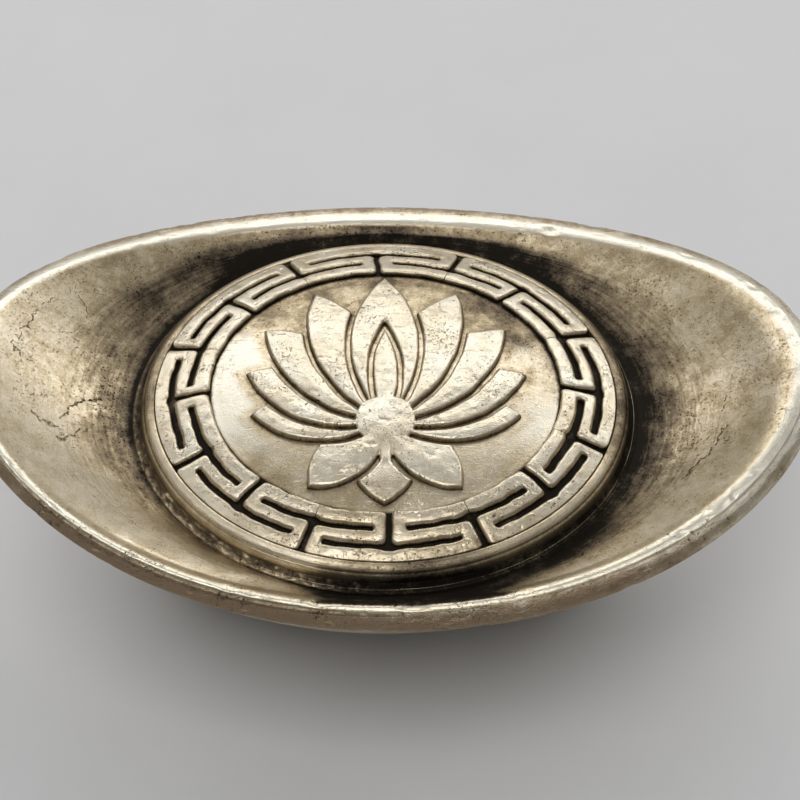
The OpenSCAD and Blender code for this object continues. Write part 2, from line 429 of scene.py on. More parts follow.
# Lumps to the metre in the places with more specks, and in the dust, pits and grain
CROWD_LUMPS = 260.0
DUST_LUMPS, PIT_LUMPS, GRAIN_LUMPS, FINE_GRAIN_LUMPS = 4200.0, 1700.0, 2200.0, 7000.0
# Where noise starts to count as such a place, as dust or as a pit, and where it does so in full
CROWD_STEP = (0.4, 0.66)
DUST_STEP = (0.64, 0.74)
PIT_STEP = (0.69, 0.76)
# One kind of scratch and another: how far it is turned, its lumps to the metre along each axis, and
# where noise starts to count as a scratch and where it does so in full
PULL_TURN, PULL_LUMPS, PULL_STEP = 0.6, (300.0, 4600.0, 900.0), (0.63, 0.75)
DRAG_TURN, DRAG_LUMPS, DRAG_STEP = -0.9, (420.0, 5600.0, 900.0), (0.64, 0.76)
# How much crowding helps a speck, how dark dust and scratches are, and how deep specks and scratches are
# against the grain
CROWDING = 0.08
DUST_DARK, SCRATCH_DARK = 0.7, 0.25
SPECK_DEPTH, SCRATCH_DEPTH = 1.2, 0.35


def tarnish_group():
    """Silver that goes to tan, umber and black by its grime, broken up by noise of three sizes."""
    inputs = [("Vector", "Vector"), ("Grime", "Float"), ("Rubbed", "Float"), ("Browned", "Float")]
    inputs += [(name, "Color") for name in FINISHES]
    outputs = [("Colour", "Color"), ("Metallic", "Float"), ("Roughness", "Float")]
    tree, given, result = new_group("Tarnish", inputs, outputs)
    broad = noise(tree, given["Vector"], BROAD_LUMPS, 5.0)
    middle = noise(tree, given["Vector"], MIDDLE_LUMPS, 6.0, 0.68)
    fine = noise(tree, given["Vector"], FINE_LUMPS, 3.0)
    blot = reckon(tree, "MULTIPLY", middle, MIDDLE_WEIGHT)
    blot = reckon(tree, "MULTIPLY_ADD", broad, BROAD_WEIGHT, blot)
    blot = reckon(tree, "MULTIPLY_ADD", fine, FINE_WEIGHT, blot)
    spread = reckon(tree, "MULTIPLY_ADD", blot, GRIME_SPREAD, -GRIME_SPREAD / 2)
    grime = reckon(tree, "ADD", given["Grime"], spread)
    tanned = step(tree, reckon(tree, "ADD", grime, spread), *TAN_STEP)
    heavy = step(tree, grime, *UMBER_STEP)
    black = step(tree, grime, *BLACK_STEP)
    colour = blend(tree, tanned, given["Silver"], given["Tan"])
    rubbed = step(tree, reckon(tree, "ADD", given["Rubbed"], spread), *RUB_STEP)
    colour = blend(tree, rubbed, colour, given["Worn"])
    browned = step(tree, reckon(tree, "ADD", given["Browned"], spread), *RUB_STEP)
    colour = blend(tree, browned, colour, given["Brown"])
    colour = blend(tree, heavy, colour, given["Umber"])
    tree.links.new(blend(tree, black, colour, given["Patina"]), result["Colour"])
    metallic = reckon(tree, "MULTIPLY_ADD", heavy, -HEAVY_DULL, 1.0)
    metallic = reckon(tree, "MULTIPLY_ADD", black, -BLACK_DULL, metallic)
    tree.links.new(metallic, result["Metallic"])
    rough = reckon(tree, "MULTIPLY_ADD", middle, MIDDLE_ROUGH, PLAIN_ROUGH)
    rough = reckon(tree, "MULTIPLY_ADD", heavy, HEAVY_ROUGH, rough)
    rough = reckon(tree, "MULTIPLY_ADD", rubbed, RUBBED_ROUGH, rough)
    rough = reckon(tree, "MULTIPLY_ADD", browned, BROWNED_ROUGH, rough)
    tree.links.new(rough, result["Roughness"])
    return tree


def scars_group():
    """Specks and fine scratches: a mask of what they darken and a height."""
    inputs = [("Vector", "Vector"), ("Specks", "Float")]
    tree, given, result = new_group("Scars", inputs, [("Dark", "Float"), ("Height", "Float")])
    vector = given["Vector"]
    crowd = step(tree, noise(tree, vector, CROWD_LUMPS, 4.0), *CROWD_STEP)
    crowd = reckon(tree, "MULTIPLY", crowd, CROWDING)
    dust = reckon(tree, "ADD", noise(tree, vector, DUST_LUMPS, 2.0), crowd)
    dust = reckon(tree, "MULTIPLY", step(tree, dust, *DUST_STEP), DUST_DARK)
    pit = reckon(tree, "ADD", noise(tree, vector, PIT_LUMPS, 3.0, 0.7), crowd)
    speck = reckon(tree, "MAXIMUM", dust, step(tree, pit, *PIT_STEP))
    speck = reckon(tree, "MULTIPLY", speck, given["Specks"])
    pull = noise(tree, stretched(tree, vector, PULL_TURN, PULL_LUMPS), 1.0, 2.0)
    drag = noise(tree, stretched(tree, vector, DRAG_TURN, DRAG_LUMPS), 1.0, 2.0)
    scratch = reckon(tree, "MAXIMUM", step(tree, pull, *PULL_STEP), step(tree, drag, *DRAG_STEP))
    tree.links.new(reckon(tree, "MULTIPLY_ADD", scratch, SCRATCH_DARK, speck), result["Dark"])
    fine_grain = noise(tree, vector, FINE_GRAIN_LUMPS, 3.0)
    grain = reckon(tree, "ADD", noise(tree, vector, GRAIN_LUMPS, 4.0, 0.7), fine_grain)
    height = reckon(tree, "MULTIPLY_ADD", speck, -SPECK_DEPTH, grain)
    tree.links.new(reckon(tree, "MULTIPLY_ADD", scratch, -SCRATCH_DEPTH, height), result["Height"])
    return tree


# How far a crack strays from its line, the lumps to the metre of its straying and of its gaps, and where
# noise starts to close a gap and where it does so in full
CRACK_SWAY = 1.8 * MM
SWAY_LUMPS, GAP_LUMPS, GAP_STEP = 900.0, 2600.0, (0.4, 0.54)
# Cracks in the wings: width, and the places that each one runs through, in mm
CRACKS = (
    (0.09, ((-33.8, 10.4), (-35.2, 8.1), (-35.9, 6.0), (-36.9, 3.3), (-36.0, 1.9))),
    (0.08, ((-31.2, 11.7), (-30.6, 10.2), (-30.5, 9.3))),
    (0.2, ((-31.9, -3.2), (-31.0, -1.3), (-30.0, 0.0), (-28.5, 0.6))),
    (0.16, ((-31.6, -6.3), (-30.1, -4.5), (-29.2, -3.7))),
    (0.28, ((-34.3, -3.7), (-33.4, -4.6), (-31.9, -4.7))),
    (0.09, ((33.7, -1.5), (33.2, -3.0))),
    (0.22, ((33.0, -5.2), (31.1, -8.2), (28.8, -10.5))),
)


def crack_group():
    """One straight length of a crack: the nearness to a line in plan, up to a width."""
    inputs = [("Vector", "Vector"), ("Start", "Vector"), ("End", "Vector"), ("Width", "Float")]
    tree, given, result = new_group("Crack length", inputs, [("Mask", "Float")])
    along = reckon_vector(tree, "SUBTRACT", given["End"], given["Start"])
    away = reckon_vector(tree, "SUBTRACT", given["Vector"], given["Start"])
    reached = reckon_vector(tree, "DOT_PRODUCT", away, along, "Value")
    whole = reckon_vector(tree, "DOT_PRODUCT", along, along, "Value")
    share = add_node(tree, "ShaderNodeMath", {0: reached, 1: whole}, operation="DIVIDE", use_clamp=True)
    nearest = reckon_vector(tree, "MULTIPLY", along, share.outputs[0])
    apart = reckon_vector(tree, "DISTANCE", away, nearest, "Value")
    tree.links.new(step(tree, apart, given["Width"], 0.0), result["Mask"])
    return tree


def cracks_group():
    """All the cracks, with a wandering course and with gaps."""
    tree, given, result = new_group("Cracks", [("Vector", "Vector")], [("Mask", "Float")])
    vector = given["Vector"]
    inputs = {"Vector": vector, "Scale": SWAY_LUMPS, "Detail": 4.0}
    sway = add_node(tree, "ShaderNodeTexNoise", inputs).outputs["Color"]
    sway = reckon_vector(tree, "SUBTRACT", sway, (0.5, 0.5, 0.5))
    sway = reckon_vector(tree, "MULTIPLY", sway, (CRACK_SWAY, CRACK_SWAY, 0))
    plan = reckon_vector(tree, "ADD", reckon_vector(tree, "MULTIPLY", vector, (1, 1, 0)), sway)
    mask = 0.0
    for width, places in CRACKS:
        corners = [(x * MM, y * MM, 0) for x, y in places]
        for start, end in zip(corners, corners[1:]):
            inputs = {"Vector": plan, "Start": start, "End": end, "Width": width * MM}
            one = add_group(tree, "Crack length", crack_group, inputs)["Mask"]
            mask = reckon(tree, "MAXIMUM", mask, one)
    whole = step(tree, noise(tree, vector, GAP_LUMPS, 3.0), *GAP_STEP)
    tree.links.new(reckon(tree, "MULTIPLY", mask, whole), result["Mask"])
    return tree


def mark_value(tree, name):
    """A mark that is stored on the mesh."""
    return add_node(tree, "ShaderNodeAttribute", attribute_name=name).outputs["Fac"]


# Grime that scars and cracks add, and the height of streaks and depth of cracks against the grain's
SCAR_GRIME, CRACK_GRIME = 0.4, 0.48
STREAK_HEIGHT, CRACK_DEPTH = 1.5, 3.0
# Shine of the part of a surface that isn't metal
PLAIN_SHINE = 0.05


def aged_metal(context, name, specks, bump, streaks=0.0, cracked=False):
    """A tarnished metal with scars, and with streaks along the piece and cracks if they are asked for."""
    made = bpy.data.materials.get(name)
    if made:
        return made
    material = bpy.data.materials.new(name)
    material.use_nodes = True
    tree = material.node_tree
    shader = tree.nodes["Principled BSDF"]
    shader.inputs["Specular IOR Level"].default_value = PLAIN_SHINE
    vector = add_node(tree, "ShaderNodeTexCoord").outputs["Object"]
    scars = add_group(tree, "Scars", scars_group, {"Vector": vector, "Specks": specks})
    height = scars["Height"]
    grime = mark_value(tree, "grime")
    if streaks:
        flow = add_node(tree, "ShaderNodeAttribute", attribute_name="flow").outputs["Vector"]
        lines = noise(tree, flow, 1.0, 3.0)
        strength = mark_value(tree, "streak")
        band = reckon(tree, "MULTIPLY_ADD", lines, streaks, -0.5 * streaks)
        grime = reckon(tree, "MULTIPLY_ADD", band, strength, grime)
        lift = reckon(tree, "MULTIPLY", strength, STREAK_HEIGHT)
        height = reckon(tree, "MULTIPLY_ADD", lines, lift, height)
    grime = reckon(tree, "MULTIPLY_ADD", scars["Dark"], SCAR_GRIME, grime)
    if cracked:
        cracks = add_group(tree, "Cracks", cracks_group, {"Vector": vector})["Mask"]
        grime = reckon(tree, "MULTIPLY_ADD", cracks, CRACK_GRIME, grime)
        height = reckon(tree, "MULTIPLY_ADD", cracks, -CRACK_DEPTH, height)
    rubbed, browned = mark_value(tree, "worn"), mark_value(tree, "brown")
    inputs = {"Vector": vector, "Grime": grime, "Rubbed": rubbed, "Browned": browned}
    for finish in FINISHES:
        inputs[finish] = (*getattr(context.scene.ingot_colours, finish.lower()), 1)
    tarnish = add_group(tree, "Tarnish", tarnish_group, inputs)
    for socket, outlet in (("Base Color", "Colour"), ("Metallic", "Metallic"), ("Roughness", "Roughness")):
        tree.links.new(tarnish[outlet], shader.inputs[socket])
    relief = add_node(tree, "ShaderNodeBump", {"Height": height, "Strength": 1.0, "Distance": bump})
    tree.links.new(relief.outputs["Normal"], shader.inputs["Normal"])
    return material


def front_share(angle):
    """1 at the front, 0 at the back and a half at the wing tips."""
    return (1 - np.sin(angle)) / 2


def smooth_line(knots, place):
    """Values along a line through knots at whole-number places: cubic pieces that share their slopes."""
    knots = np.array(knots, float)
    first = np.clip(np.floor(place).astype(int), 0, len(knots) - 2)
    before, here, after, beyond = (knots[np.clip(first + k, 0, len(knots) - 1)] for k in (-1, 0, 1, 2))
    part = (place - first)[..., None]
    slope_in, slope_out, rise = (after - before) / 2, (beyond - here) / 2, after - here
    bend = 3 * rise - 2 * slope_in - slope_out
    return here + part * (slope_in + part * (bend + part * (slope_in + slope_out - 2 * rise)))


# The rim's section from the trough, over the crest and the seam to the underside: inset and drop in mm
RIM_BACK = (
    (3.85, 0.66), (3.4, 0.35), (3.0, 0.13), (2.58, 0.01), (2.2, 0.0),
    (1.8, 0.015), (1.4, 0.05), (1.05, 0.11), (0.72, 0.2), (0.4, 0.33),
    (0.14, 0.56), (0.02, 0.9), (0.1, 1.35), (0.6, 1.9), (1.7, 2.2),
)
RIM_FRONT = (
    (3.7, 0.58), (3.35, 0.31), (3.0, 0.1), (2.6, 0.0), (2.4, 0.03),
    (2.22, 0.12), (2.05, 0.28), (1.85, 0.5), (1.6, 0.78), (1.35, 1.07),
    (1.14, 1.36), (1.02, 1.62), (1.12, 1.87), (1.4, 2.08), (1.7, 2.2),
)
# Places of the crest, of the seam between lip and wire and of the end, counted along the section's knots
CREST, SEAM, RIM_END = 3, 6, 14
# How much deeper the roll into the trough is at the wing tips, how far the crest moves out there, and
# the power by which both grow towards the tips
TIP_DEEPER = 0.25
TIP_SHIFT = 0.35 * MM
TIP_POWER = 1.5
# Where the rim is fuller: how round its outside is and how much wider its inner roll is at each bearing
FULL_BEARINGS = (0, 30, 60, 100, 150, 180, 210, 270, 300, 320, 345)
ROUNDER = (0.7, 0.0, 0.0, 0.0, 0.0, 0.0, 0.0, 0.0, 0.4, 0.9, 1.0)
WIDER = (1.6, 1.6, 1.4, 1.0, 1.15, 1.2, 1.1, 1.0, 1.1, 1.3, 1.5)
# Crest, reach and fall of the round outside, in mm, and the place on the section where it ends
ROUND_CREST, ROUND_REACH, ROUND_FALL, ROUND_END = 2.6, 1.58, 1.62, 11
# How far the front of the rim leans out at the right and in at the left, and the power by which the
# lean grows towards the front
RIM_LEAN = 0.77 * MM
LEAN_POWER = 1.5
# The share of the lean that reaches the rim's outermost line, and the inset below it where the lean starts
LEAN_SHARE = 0.88
LEAN_START = 1.9 * MM
# Depth of the nicks in the crest, of large and small dents in the outside, and of lumps beside the crest
NICK_DEPTH = 0.3 * MM
DENT_DEPTH, SMALL_DENT_DEPTH = 0.4 * MM, 0.25 * MM
LUMP_DEPTH = 0.018 * MM


def rim_section(sizes, angle, place):
    """Points of the rolled rim at places along its section, which goes from the back's to the front's.

    Nicks lower the crest and dents press the outside in, both by noise above a threshold. The lean
    moves the outside along its inset, by the cosine of the angle.
    """
    front = front_share(angle)
    back_line = smooth_line(RIM_BACK, place) * MM
    front_line = smooth_line(RIM_FRONT, place) * MM
    swing = np.clip((place - CREST) / (ROUND_END - CREST), 0, 1) * np.pi / 2
    round_line = stack(ROUND_CREST - ROUND_REACH * np.sin(swing), ROUND_FALL * (1 - np.cos(swing))) * MM
    rounder = by_bearing(angle, FULL_BEARINGS, ROUNDER) * (place > CREST) * (place < ROUND_END)
    front_line = front_line + (round_line - front_line) * rounder[..., None]
    section = back_line + (front_line - back_line) * front[..., None]
    inset, drop = section[..., 0], section[..., 1]
    crest = (RIM_BACK[CREST][0] + (RIM_FRONT[CREST][0] - RIM_BACK[CREST][0]) * front) * MM
    wider = by_bearing(angle, FULL_BEARINGS, WIDER)
    inset = np.where(place < CREST, crest + (inset - crest) * wider, inset)
    tip = np.abs(np.cos(angle)) ** TIP_POWER
    inset = inset - TIP_SHIFT * tip * ease(SEAM - place, 0, 2)
    drop = np.maximum(drop, 0) * (1 + TIP_DEEPER * tip * (place < CREST))
    lean = RIM_LEAN * front ** LEAN_POWER * np.cos(angle)
    upper = LEAN_SHARE * ease(ROUND_CREST * MM - inset, 0, ROUND_REACH * MM)
    lower = np.clip((LEAN_START - inset) / MM, 0, 1)
    inset = inset - lean * np.where(place < ROUND_END, upper, lower)
    plain = rim_points(sizes, angle, inset, drop)
    nick = np.maximum(cloud(plain, 2.4 * MM, 21) - 0.25, 0)
    nick = nick + 0.8 * np.maximum(cloud(plain, 1.3 * MM, 25) - 0.5, 0)
    dent = DENT_DEPTH * np.maximum(rough_cloud(plain, 2.2 * MM, 61) - 0.2, 0)
    dent = dent + SMALL_DENT_DEPTH * np.maximum(rough_cloud(plain, 0.8 * MM, 62) - 0.2, 0)
    dent = dent * ease(place, SEAM + 0.6, SEAM + 2.5)
    drop = drop + 0.4 * dent + NICK_DEPTH * nick * bell(place, CREST + 0.2, 1.4)
    drop = drop + LUMP_DEPTH * (1 + cloud(plain, 0.7 * MM, 66)) * bell(place, CREST + 2, 2.5)
    return rim_points(sizes, angle, inset + dent, drop)


PAN_AROUND = 960
SEAT_ROWS = 8
SCOOP_ROWS = 50
LIP_ROWS = 20
UNDER_ROWS = 10
# The power by which the scoop's rows crowd towards the seat
SCOOP_CROWDING = 1.25
# The power that the scoop's height goes with at each bearing: hollow at the tips, flatter at the sides
POWER_BEARINGS = (0, 60, 120, 180, 205, 225, 245, 262, 285, 300, 320, 340)
POWERS = (1.5, 0.95, 0.95, 1.5, 1.3, 0.9, 0.6, 0.9, 0.9, 1.0, 1.2, 1.4)
# The lip's thin edge laps over the wire: how far its underside lies below its top, how ragged its edge is
# along the section, and how far the fold goes back under it
LAP = 0.01 * MM
LAP_RAGGED = 0.45
LAP_BACK = 0.9
# Height and size of the scoop's broad and fine waves
SCOOP_WAVES = ((0.05, 7), (0.018, 1.6))


def trough_surface(sizes):
    """The sheet as rows round the boss: seat, scoop and lip, then back underneath.

    Across the scoop a point goes straight from the seat's edge to the lip, and its height goes with
    a power of the same share. Returns the rows, the share across, the place on the rim and the angle.
    """
    angle = turn(PAN_AROUND)[None, :]
    seat_edge = sizes.boss_half_length + sizes.seam / boss_oval(sizes)
    hole = land_edge(sizes)
    low_seat = sizes.seat_height - sizes.gap
    across = np.linspace(0, 1, SEAT_ROWS, endpoint=False)[:, None]
    seat = boss_points(sizes, angle, hole + (seat_edge - hole) * across, low_seat)
    share = np.linspace(0, 1, SCOOP_ROWS, endpoint=False)[:, None] ** SCOOP_CROWDING
    power = by_bearing(angle, POWER_BEARINGS, POWERS)
    start = boss_points(sizes, angle, seat_edge, low_seat)
    edge_line = rim_points(sizes, angle, sizes.wire, 0)
    lap = SEAM + LAP_RAGGED * rough_cloud(edge_line, 1.8 * MM, 27)
    place = np.append(np.linspace(0, 0.995, LIP_ROWS - 1), 1)[:, None] * lap
    lip_line = rim_section(sizes, angle, place)
    scoop = between(start, lip_line[:1], share, share ** power)
    scoop[..., 2] += uneven(scoop, SCOOP_WAVES, 11) * ease(share, 0, 0.15) * ease(1 - share, 0, 0.12)
    fold = rim_section(sizes, angle, np.concatenate([lap - 0.02, np.full_like(lap, SEAM - LAP_BACK)]))
    fold[..., 2] -= LAP
    edge = rim_points(sizes, angle, sizes.wire + 0.4 * MM, np.array([[0.35], [1.0]]) * sizes.sheet)
    under_share = np.linspace(1, 0, UNDER_ROWS)[:, None]
    low_start = boss_points(sizes, angle, seat_edge, low_seat - sizes.sheet)
    low_finish = rim_points(sizes, angle, sizes.lip + sizes.wire, 1.5 * sizes.sheet)
    under = between(low_start, low_finish, under_share, under_share ** power)
    inside = boss_points(sizes, angle, np.full((1, 1), hole), low_seat - sizes.sheet)
    rows = np.concatenate([seat, scoop, lip_line, fold, edge, under, inside])
    first_lip = SEAT_ROWS + SCOOP_ROWS
    rows = soften(rows, first_lip - 3, first_lip + 5, 4)
    rows = soften(rows, SEAT_ROWS - 2, SEAT_ROWS + 3, 3)
    shares = np.concatenate([0 * across, share, np.ones((len(rows) - first_lip, 1))])
    hidden = np.full((len(rows) - first_lip - LIP_ROWS, PAN_AROUND), SEAM)
    places = np.concatenate([np.zeros((first_lip, PAN_AROUND)), place, hidden])
    return rows, shares, places, angle


# How far black patina and brown tarnish creep up the trough, as a share of the slope at each bearing; where
# they reach high on the rear wall and at the front they are also painted shade
TROUGH_BEARINGS = (
    0, 25, 50, 70, 90, 110, 135, 160, 180, 205, 222, 244, 252, 257, 262, 283, 294, 308, 325, 345
)
BLACK_PATINA_AND_SHADE_REACH = (
    0.11, 0.08, 0.13, 0.65, 0.92, 0.62, 0.02, -0.04, -0.09, -0.14,
    -0.2, -0.2, -0.05, 0.4, 1.05, 1.1, 0.48, 0.31, 0.12, 0.1,
)
BROWN_TARNISH_AND_SHADE_REACH = (
    0.43, 0.33, 0.5, 0.9, 1.15, 1.0, 0.55, 0.42, 0.35, 0.19,
    0.02, 0.0, 0.18, 0.7, 1.25, 1.2, 0.72, 0.56, 0.44, 0.42,
)
# Grime of both stains and their painted shade, and the share of the slope over which each one fades
BROWN_GRIME, BROWN_FADE = 0.46, (-0.26, 0.2)
BLACK_GRIME, BLACK_FADE = 0.54, (-0.24, 0.16)
# How far the stains' edges wander, and the grime in the corner beside the seat, partly patina and partly
# painted shade
STAIN_WANDER = 0.08
CORNER_PATINA_AND_SHADE, CORNER_REACH = 0.25, 0.05
# Grime all over the trough, in its blotches, and in a patch on the right wing
ALL_GRIME, BLOTCH_GRIME, PATCH_GRIME = 0.03, 0.14, 0.22
# Light tan tarnish on the rear slopes at each bearing, partly painted shade of the slopes that face the
# front
TAN_BEARINGS = (0, 15, 30, 50, 80, 100, 125, 145, 160, 172)
REAR_TAN_AND_SHADE = (0.02, 0.1, 0.22, 0.3, 0.18, 0.18, 0.32, 0.28, 0.08, 0.0)
# How brown the rim's outside is at each bearing
RIM_BEARINGS = (0, 60, 120, 180, 195, 215, 240, 270, 300, 325, 345)
RIM_TINT = (0.05, 0.55, 0.6, 0.2, 0.45, 0.9, 1.0, 1.0, 0.8, 0.3, 0.1)
# Grime on the front lip, partly painted shade, and in its chips
FRONT_LIP_DIRT_AND_SHADE, LIP_CHIPS = 0.2, 0.2
# Streaks run round the slope: the radius that sets their number in a turn, and their number across it
SLOPE_STREAK_RADIUS, SLOPE_STREAKS = 5, 32


class INGOT_OT_trough(bpy.types.Operator):
    """Build the trough sheet with its scoops and bright lip"""

    bl_idname = "ingot.trough"
    bl_label = "Trough sheet"

    def execute(self, context):
        sizes = context.scene.ingot_sizes
        rows, share, place, angle = trough_surface(sizes)
        creep = STAIN_WANDER * rough_cloud(rows, 4 * MM, 31) - share
        # The stains, the corner grime and the tan are partly patina and tarnish, partly painted shade on
        # the rear wall, the rear slopes and the front of the trough
        black = by_bearing(angle, TROUGH_BEARINGS, BLACK_PATINA_AND_SHADE_REACH) + creep
        brown_stain = by_bearing(angle, TROUGH_BEARINGS, BROWN_TARNISH_AND_SHADE_REACH) + creep
        grime = BROWN_GRIME * ease(brown_stain, *BROWN_FADE) + BLACK_GRIME * ease(black, *BLACK_FADE)
        grime = grime + CORNER_PATINA_AND_SHADE * ease(CORNER_REACH - share, 0, CORNER_REACH)
        grime = grime + ALL_GRIME + BLOTCH_GRIME * ease(rough_cloud(rows, 9 * MM, 41), -0.1, 0.7)
        grime = grime + by_bearing(angle, TAN_BEARINGS, REAR_TAN_AND_SHADE) * ease(share, 0.15, 0.5)
        patch = bell(np.sin(angle), -0.1, 0.4) * (np.cos(angle) > 0)
        grime = grime + PATCH_GRIME * patch * ease(share, 0.3, 0.8)
        chip = rough_cloud(rows, 1.5 * MM, 51)
        # At the front the lip holds more grime and less wear: dirt in its chips, and painted shade of the
        # lip that faces the front
        front = ease(front_share(angle), 0.7, 0.97)
        hold = 2.2 + 0.9 * ease(front_share(angle), 0.955, 0.985)
        grime = grime * ease(hold - place, 0, 1.0)
        grime = grime + front * (FRONT_LIP_DIRT_AND_SHADE + LIP_CHIPS * chip) * ease(place, 0.5, 2.5)
        tint_here = by_bearing(angle, RIM_BEARINGS, RIM_TINT)
        fade = ease(place - SEAM - 0.5 * chip, -2.0, 0)
        worn = ease(place, 1.4, 2.8) * (1 - fade * (0.2 + 0.8 * tint_here)) * (1 - 0.4 * front)
        brown = tint_here * ease(place + 1.2 * chip, CREST + 0.8, SEAM + 2)
        streak = ease(0.85 - share, 0, 0.4) * ease(share, 0, 0.1)
        flow = oval_points(SLOPE_STREAK_RADIUS, SLOPE_STREAK_RADIUS, angle, SLOPE_STREAKS * share)
        marks = {"grime": grime, "worn": worn, "brown": brown, "streak": streak, "flow": flow}
        metal = aged_metal(context, "trough silver", specks=1.0, bump=0.02 * MM, streaks=0.6, cracked=True)
        faces = [band_faces(len(rows), PAN_AROUND, True)]
        make_piece("trough_sheet", rows, faces, marks, metal, ["trough_pan"])
        return {"FINISHED"}


WIRE_AROUND = 1100
WIRE_ROWS = 44
# The wire's hidden inside, from the bottom up: inset and drop in mm
WIRE_INSIDE = ((1.7, 1.1), (1.72, 0.95), (1.85, 0.5))
# Grime all over the wire, in its blotches and below it
WIRE_GRIME, WIRE_BLOTCHES, WIRE_BELOW = 0.06, 0.3, 0.35
# Wear in patches, along the seam and where the front is bright, and how much of it the brown hides
WIRE_RUB, SEAM_RUB, BRIGHT_RUB, RUB_HIDDEN = 0.7, 0.3, 0.5, 0.6


class INGOT_OT_rim(bpy.types.Operator):
    """Build the brown wire round the mouth of the hull"""

    bl_idname = "ingot.rim"
    bl_label = "Rim wire"

    def execute(self, context):
        sizes = context.scene.ingot_sizes
        angle = turn(WIRE_AROUND)[None, :]
        place = np.linspace(SEAM - 0.8, RIM_END, WIRE_ROWS)[:, None] + 0 * angle
        outside = rim_section(sizes, angle, place)
        outside[..., 2] -= 1.7 * LAP * ease(SEAM + 1.6 - place, 0, 1.0)
        inset, drop = np.array(WIRE_INSIDE).T[..., None] * MM
        inside = rim_points(sizes, angle, inset, drop)
        rows = np.concatenate([outside, inside])
        place = np.concatenate([place, np.full((len(inset), WIRE_AROUND), RIM_END)])
        tint_here = by_bearing(angle, RIM_BEARINGS, RIM_TINT)
        chip = rough_cloud(rows, 1.1 * MM, 63)
        rub = ease(rough_cloud(rows, 2.0 * MM, 64), -0.1, 0.45) * ease(SEAM + 4 - place, 0, 2)
        blotch = ease(rough_cloud(rows, 1.8 * MM, 65), 0, 0.6)
        below = ease(place, SEAM + 5, SEAM + 7)
        beside = ease(SEAM + 2 - place, 0, 2)
        bright = (1 - tint_here) * ease(SEAM + 5 - place, 0, 4) * ease(front_share(angle), 0.3, 0.6)
        rub = rub * (1 - RUB_HIDDEN * tint_here)
        marks = {
            "grime": WIRE_GRIME + WIRE_BLOTCHES * blotch + WIRE_BELOW * below,
            "worn": WIRE_RUB * rub + SEAM_RUB * beside + BRIGHT_RUB * bright,
            "brown": tint_here * ease(place + 0.6 * chip, CREST + 0.8, SEAM + 2) + 0.3 * chip,
        }
        metal = aged_metal(context, "rim brown", specks=1.2, bump=0.06 * MM)
        faces = [band_faces(len(rows), WIRE_AROUND, True)]
        make_piece("rim_wire_brown", rows, faces, marks, metal, ["rim_wire"])
        return {"FINISHED"}


HULL_AROUND = 480
HULL_ROWS = 60
HULL_INNER_ROWS = 8
# Height and size of the wall's broad and fine waves
WALL_WAVES = ((0.1, 9), (0.03, 2))
# Grime under the rim, above the foot and in blotches, wear in patches, and browning under the rim
HIGH_GRIME, LOW_GRIME, WALL_BLOTCHES = 0.3, 0.45, 0.3
WALL_RUB, WALL_BROWN = 0.7, 0.35
# The foot's section from near its middle to its edge and up: share of the half-size, and height in mm
FOOT_SECTION = (
    (0.2, 0.32), (0.4, 0.31), (0.6, 0.28), (0.75, 0.2), (0.83, 0.12), (0.88, 0.05), (0.92, 0.01),
    (0.95, 0.0), (0.975, 0.03), (0.99, 0.12), (1.0, 0.3), (1.0, 0.7), (1.0, 1.1), (0.99, 1.38), (0.93, 1.4),
)
# The share of the half-size where the foot touches the floor
FOOT_REST = 0.95


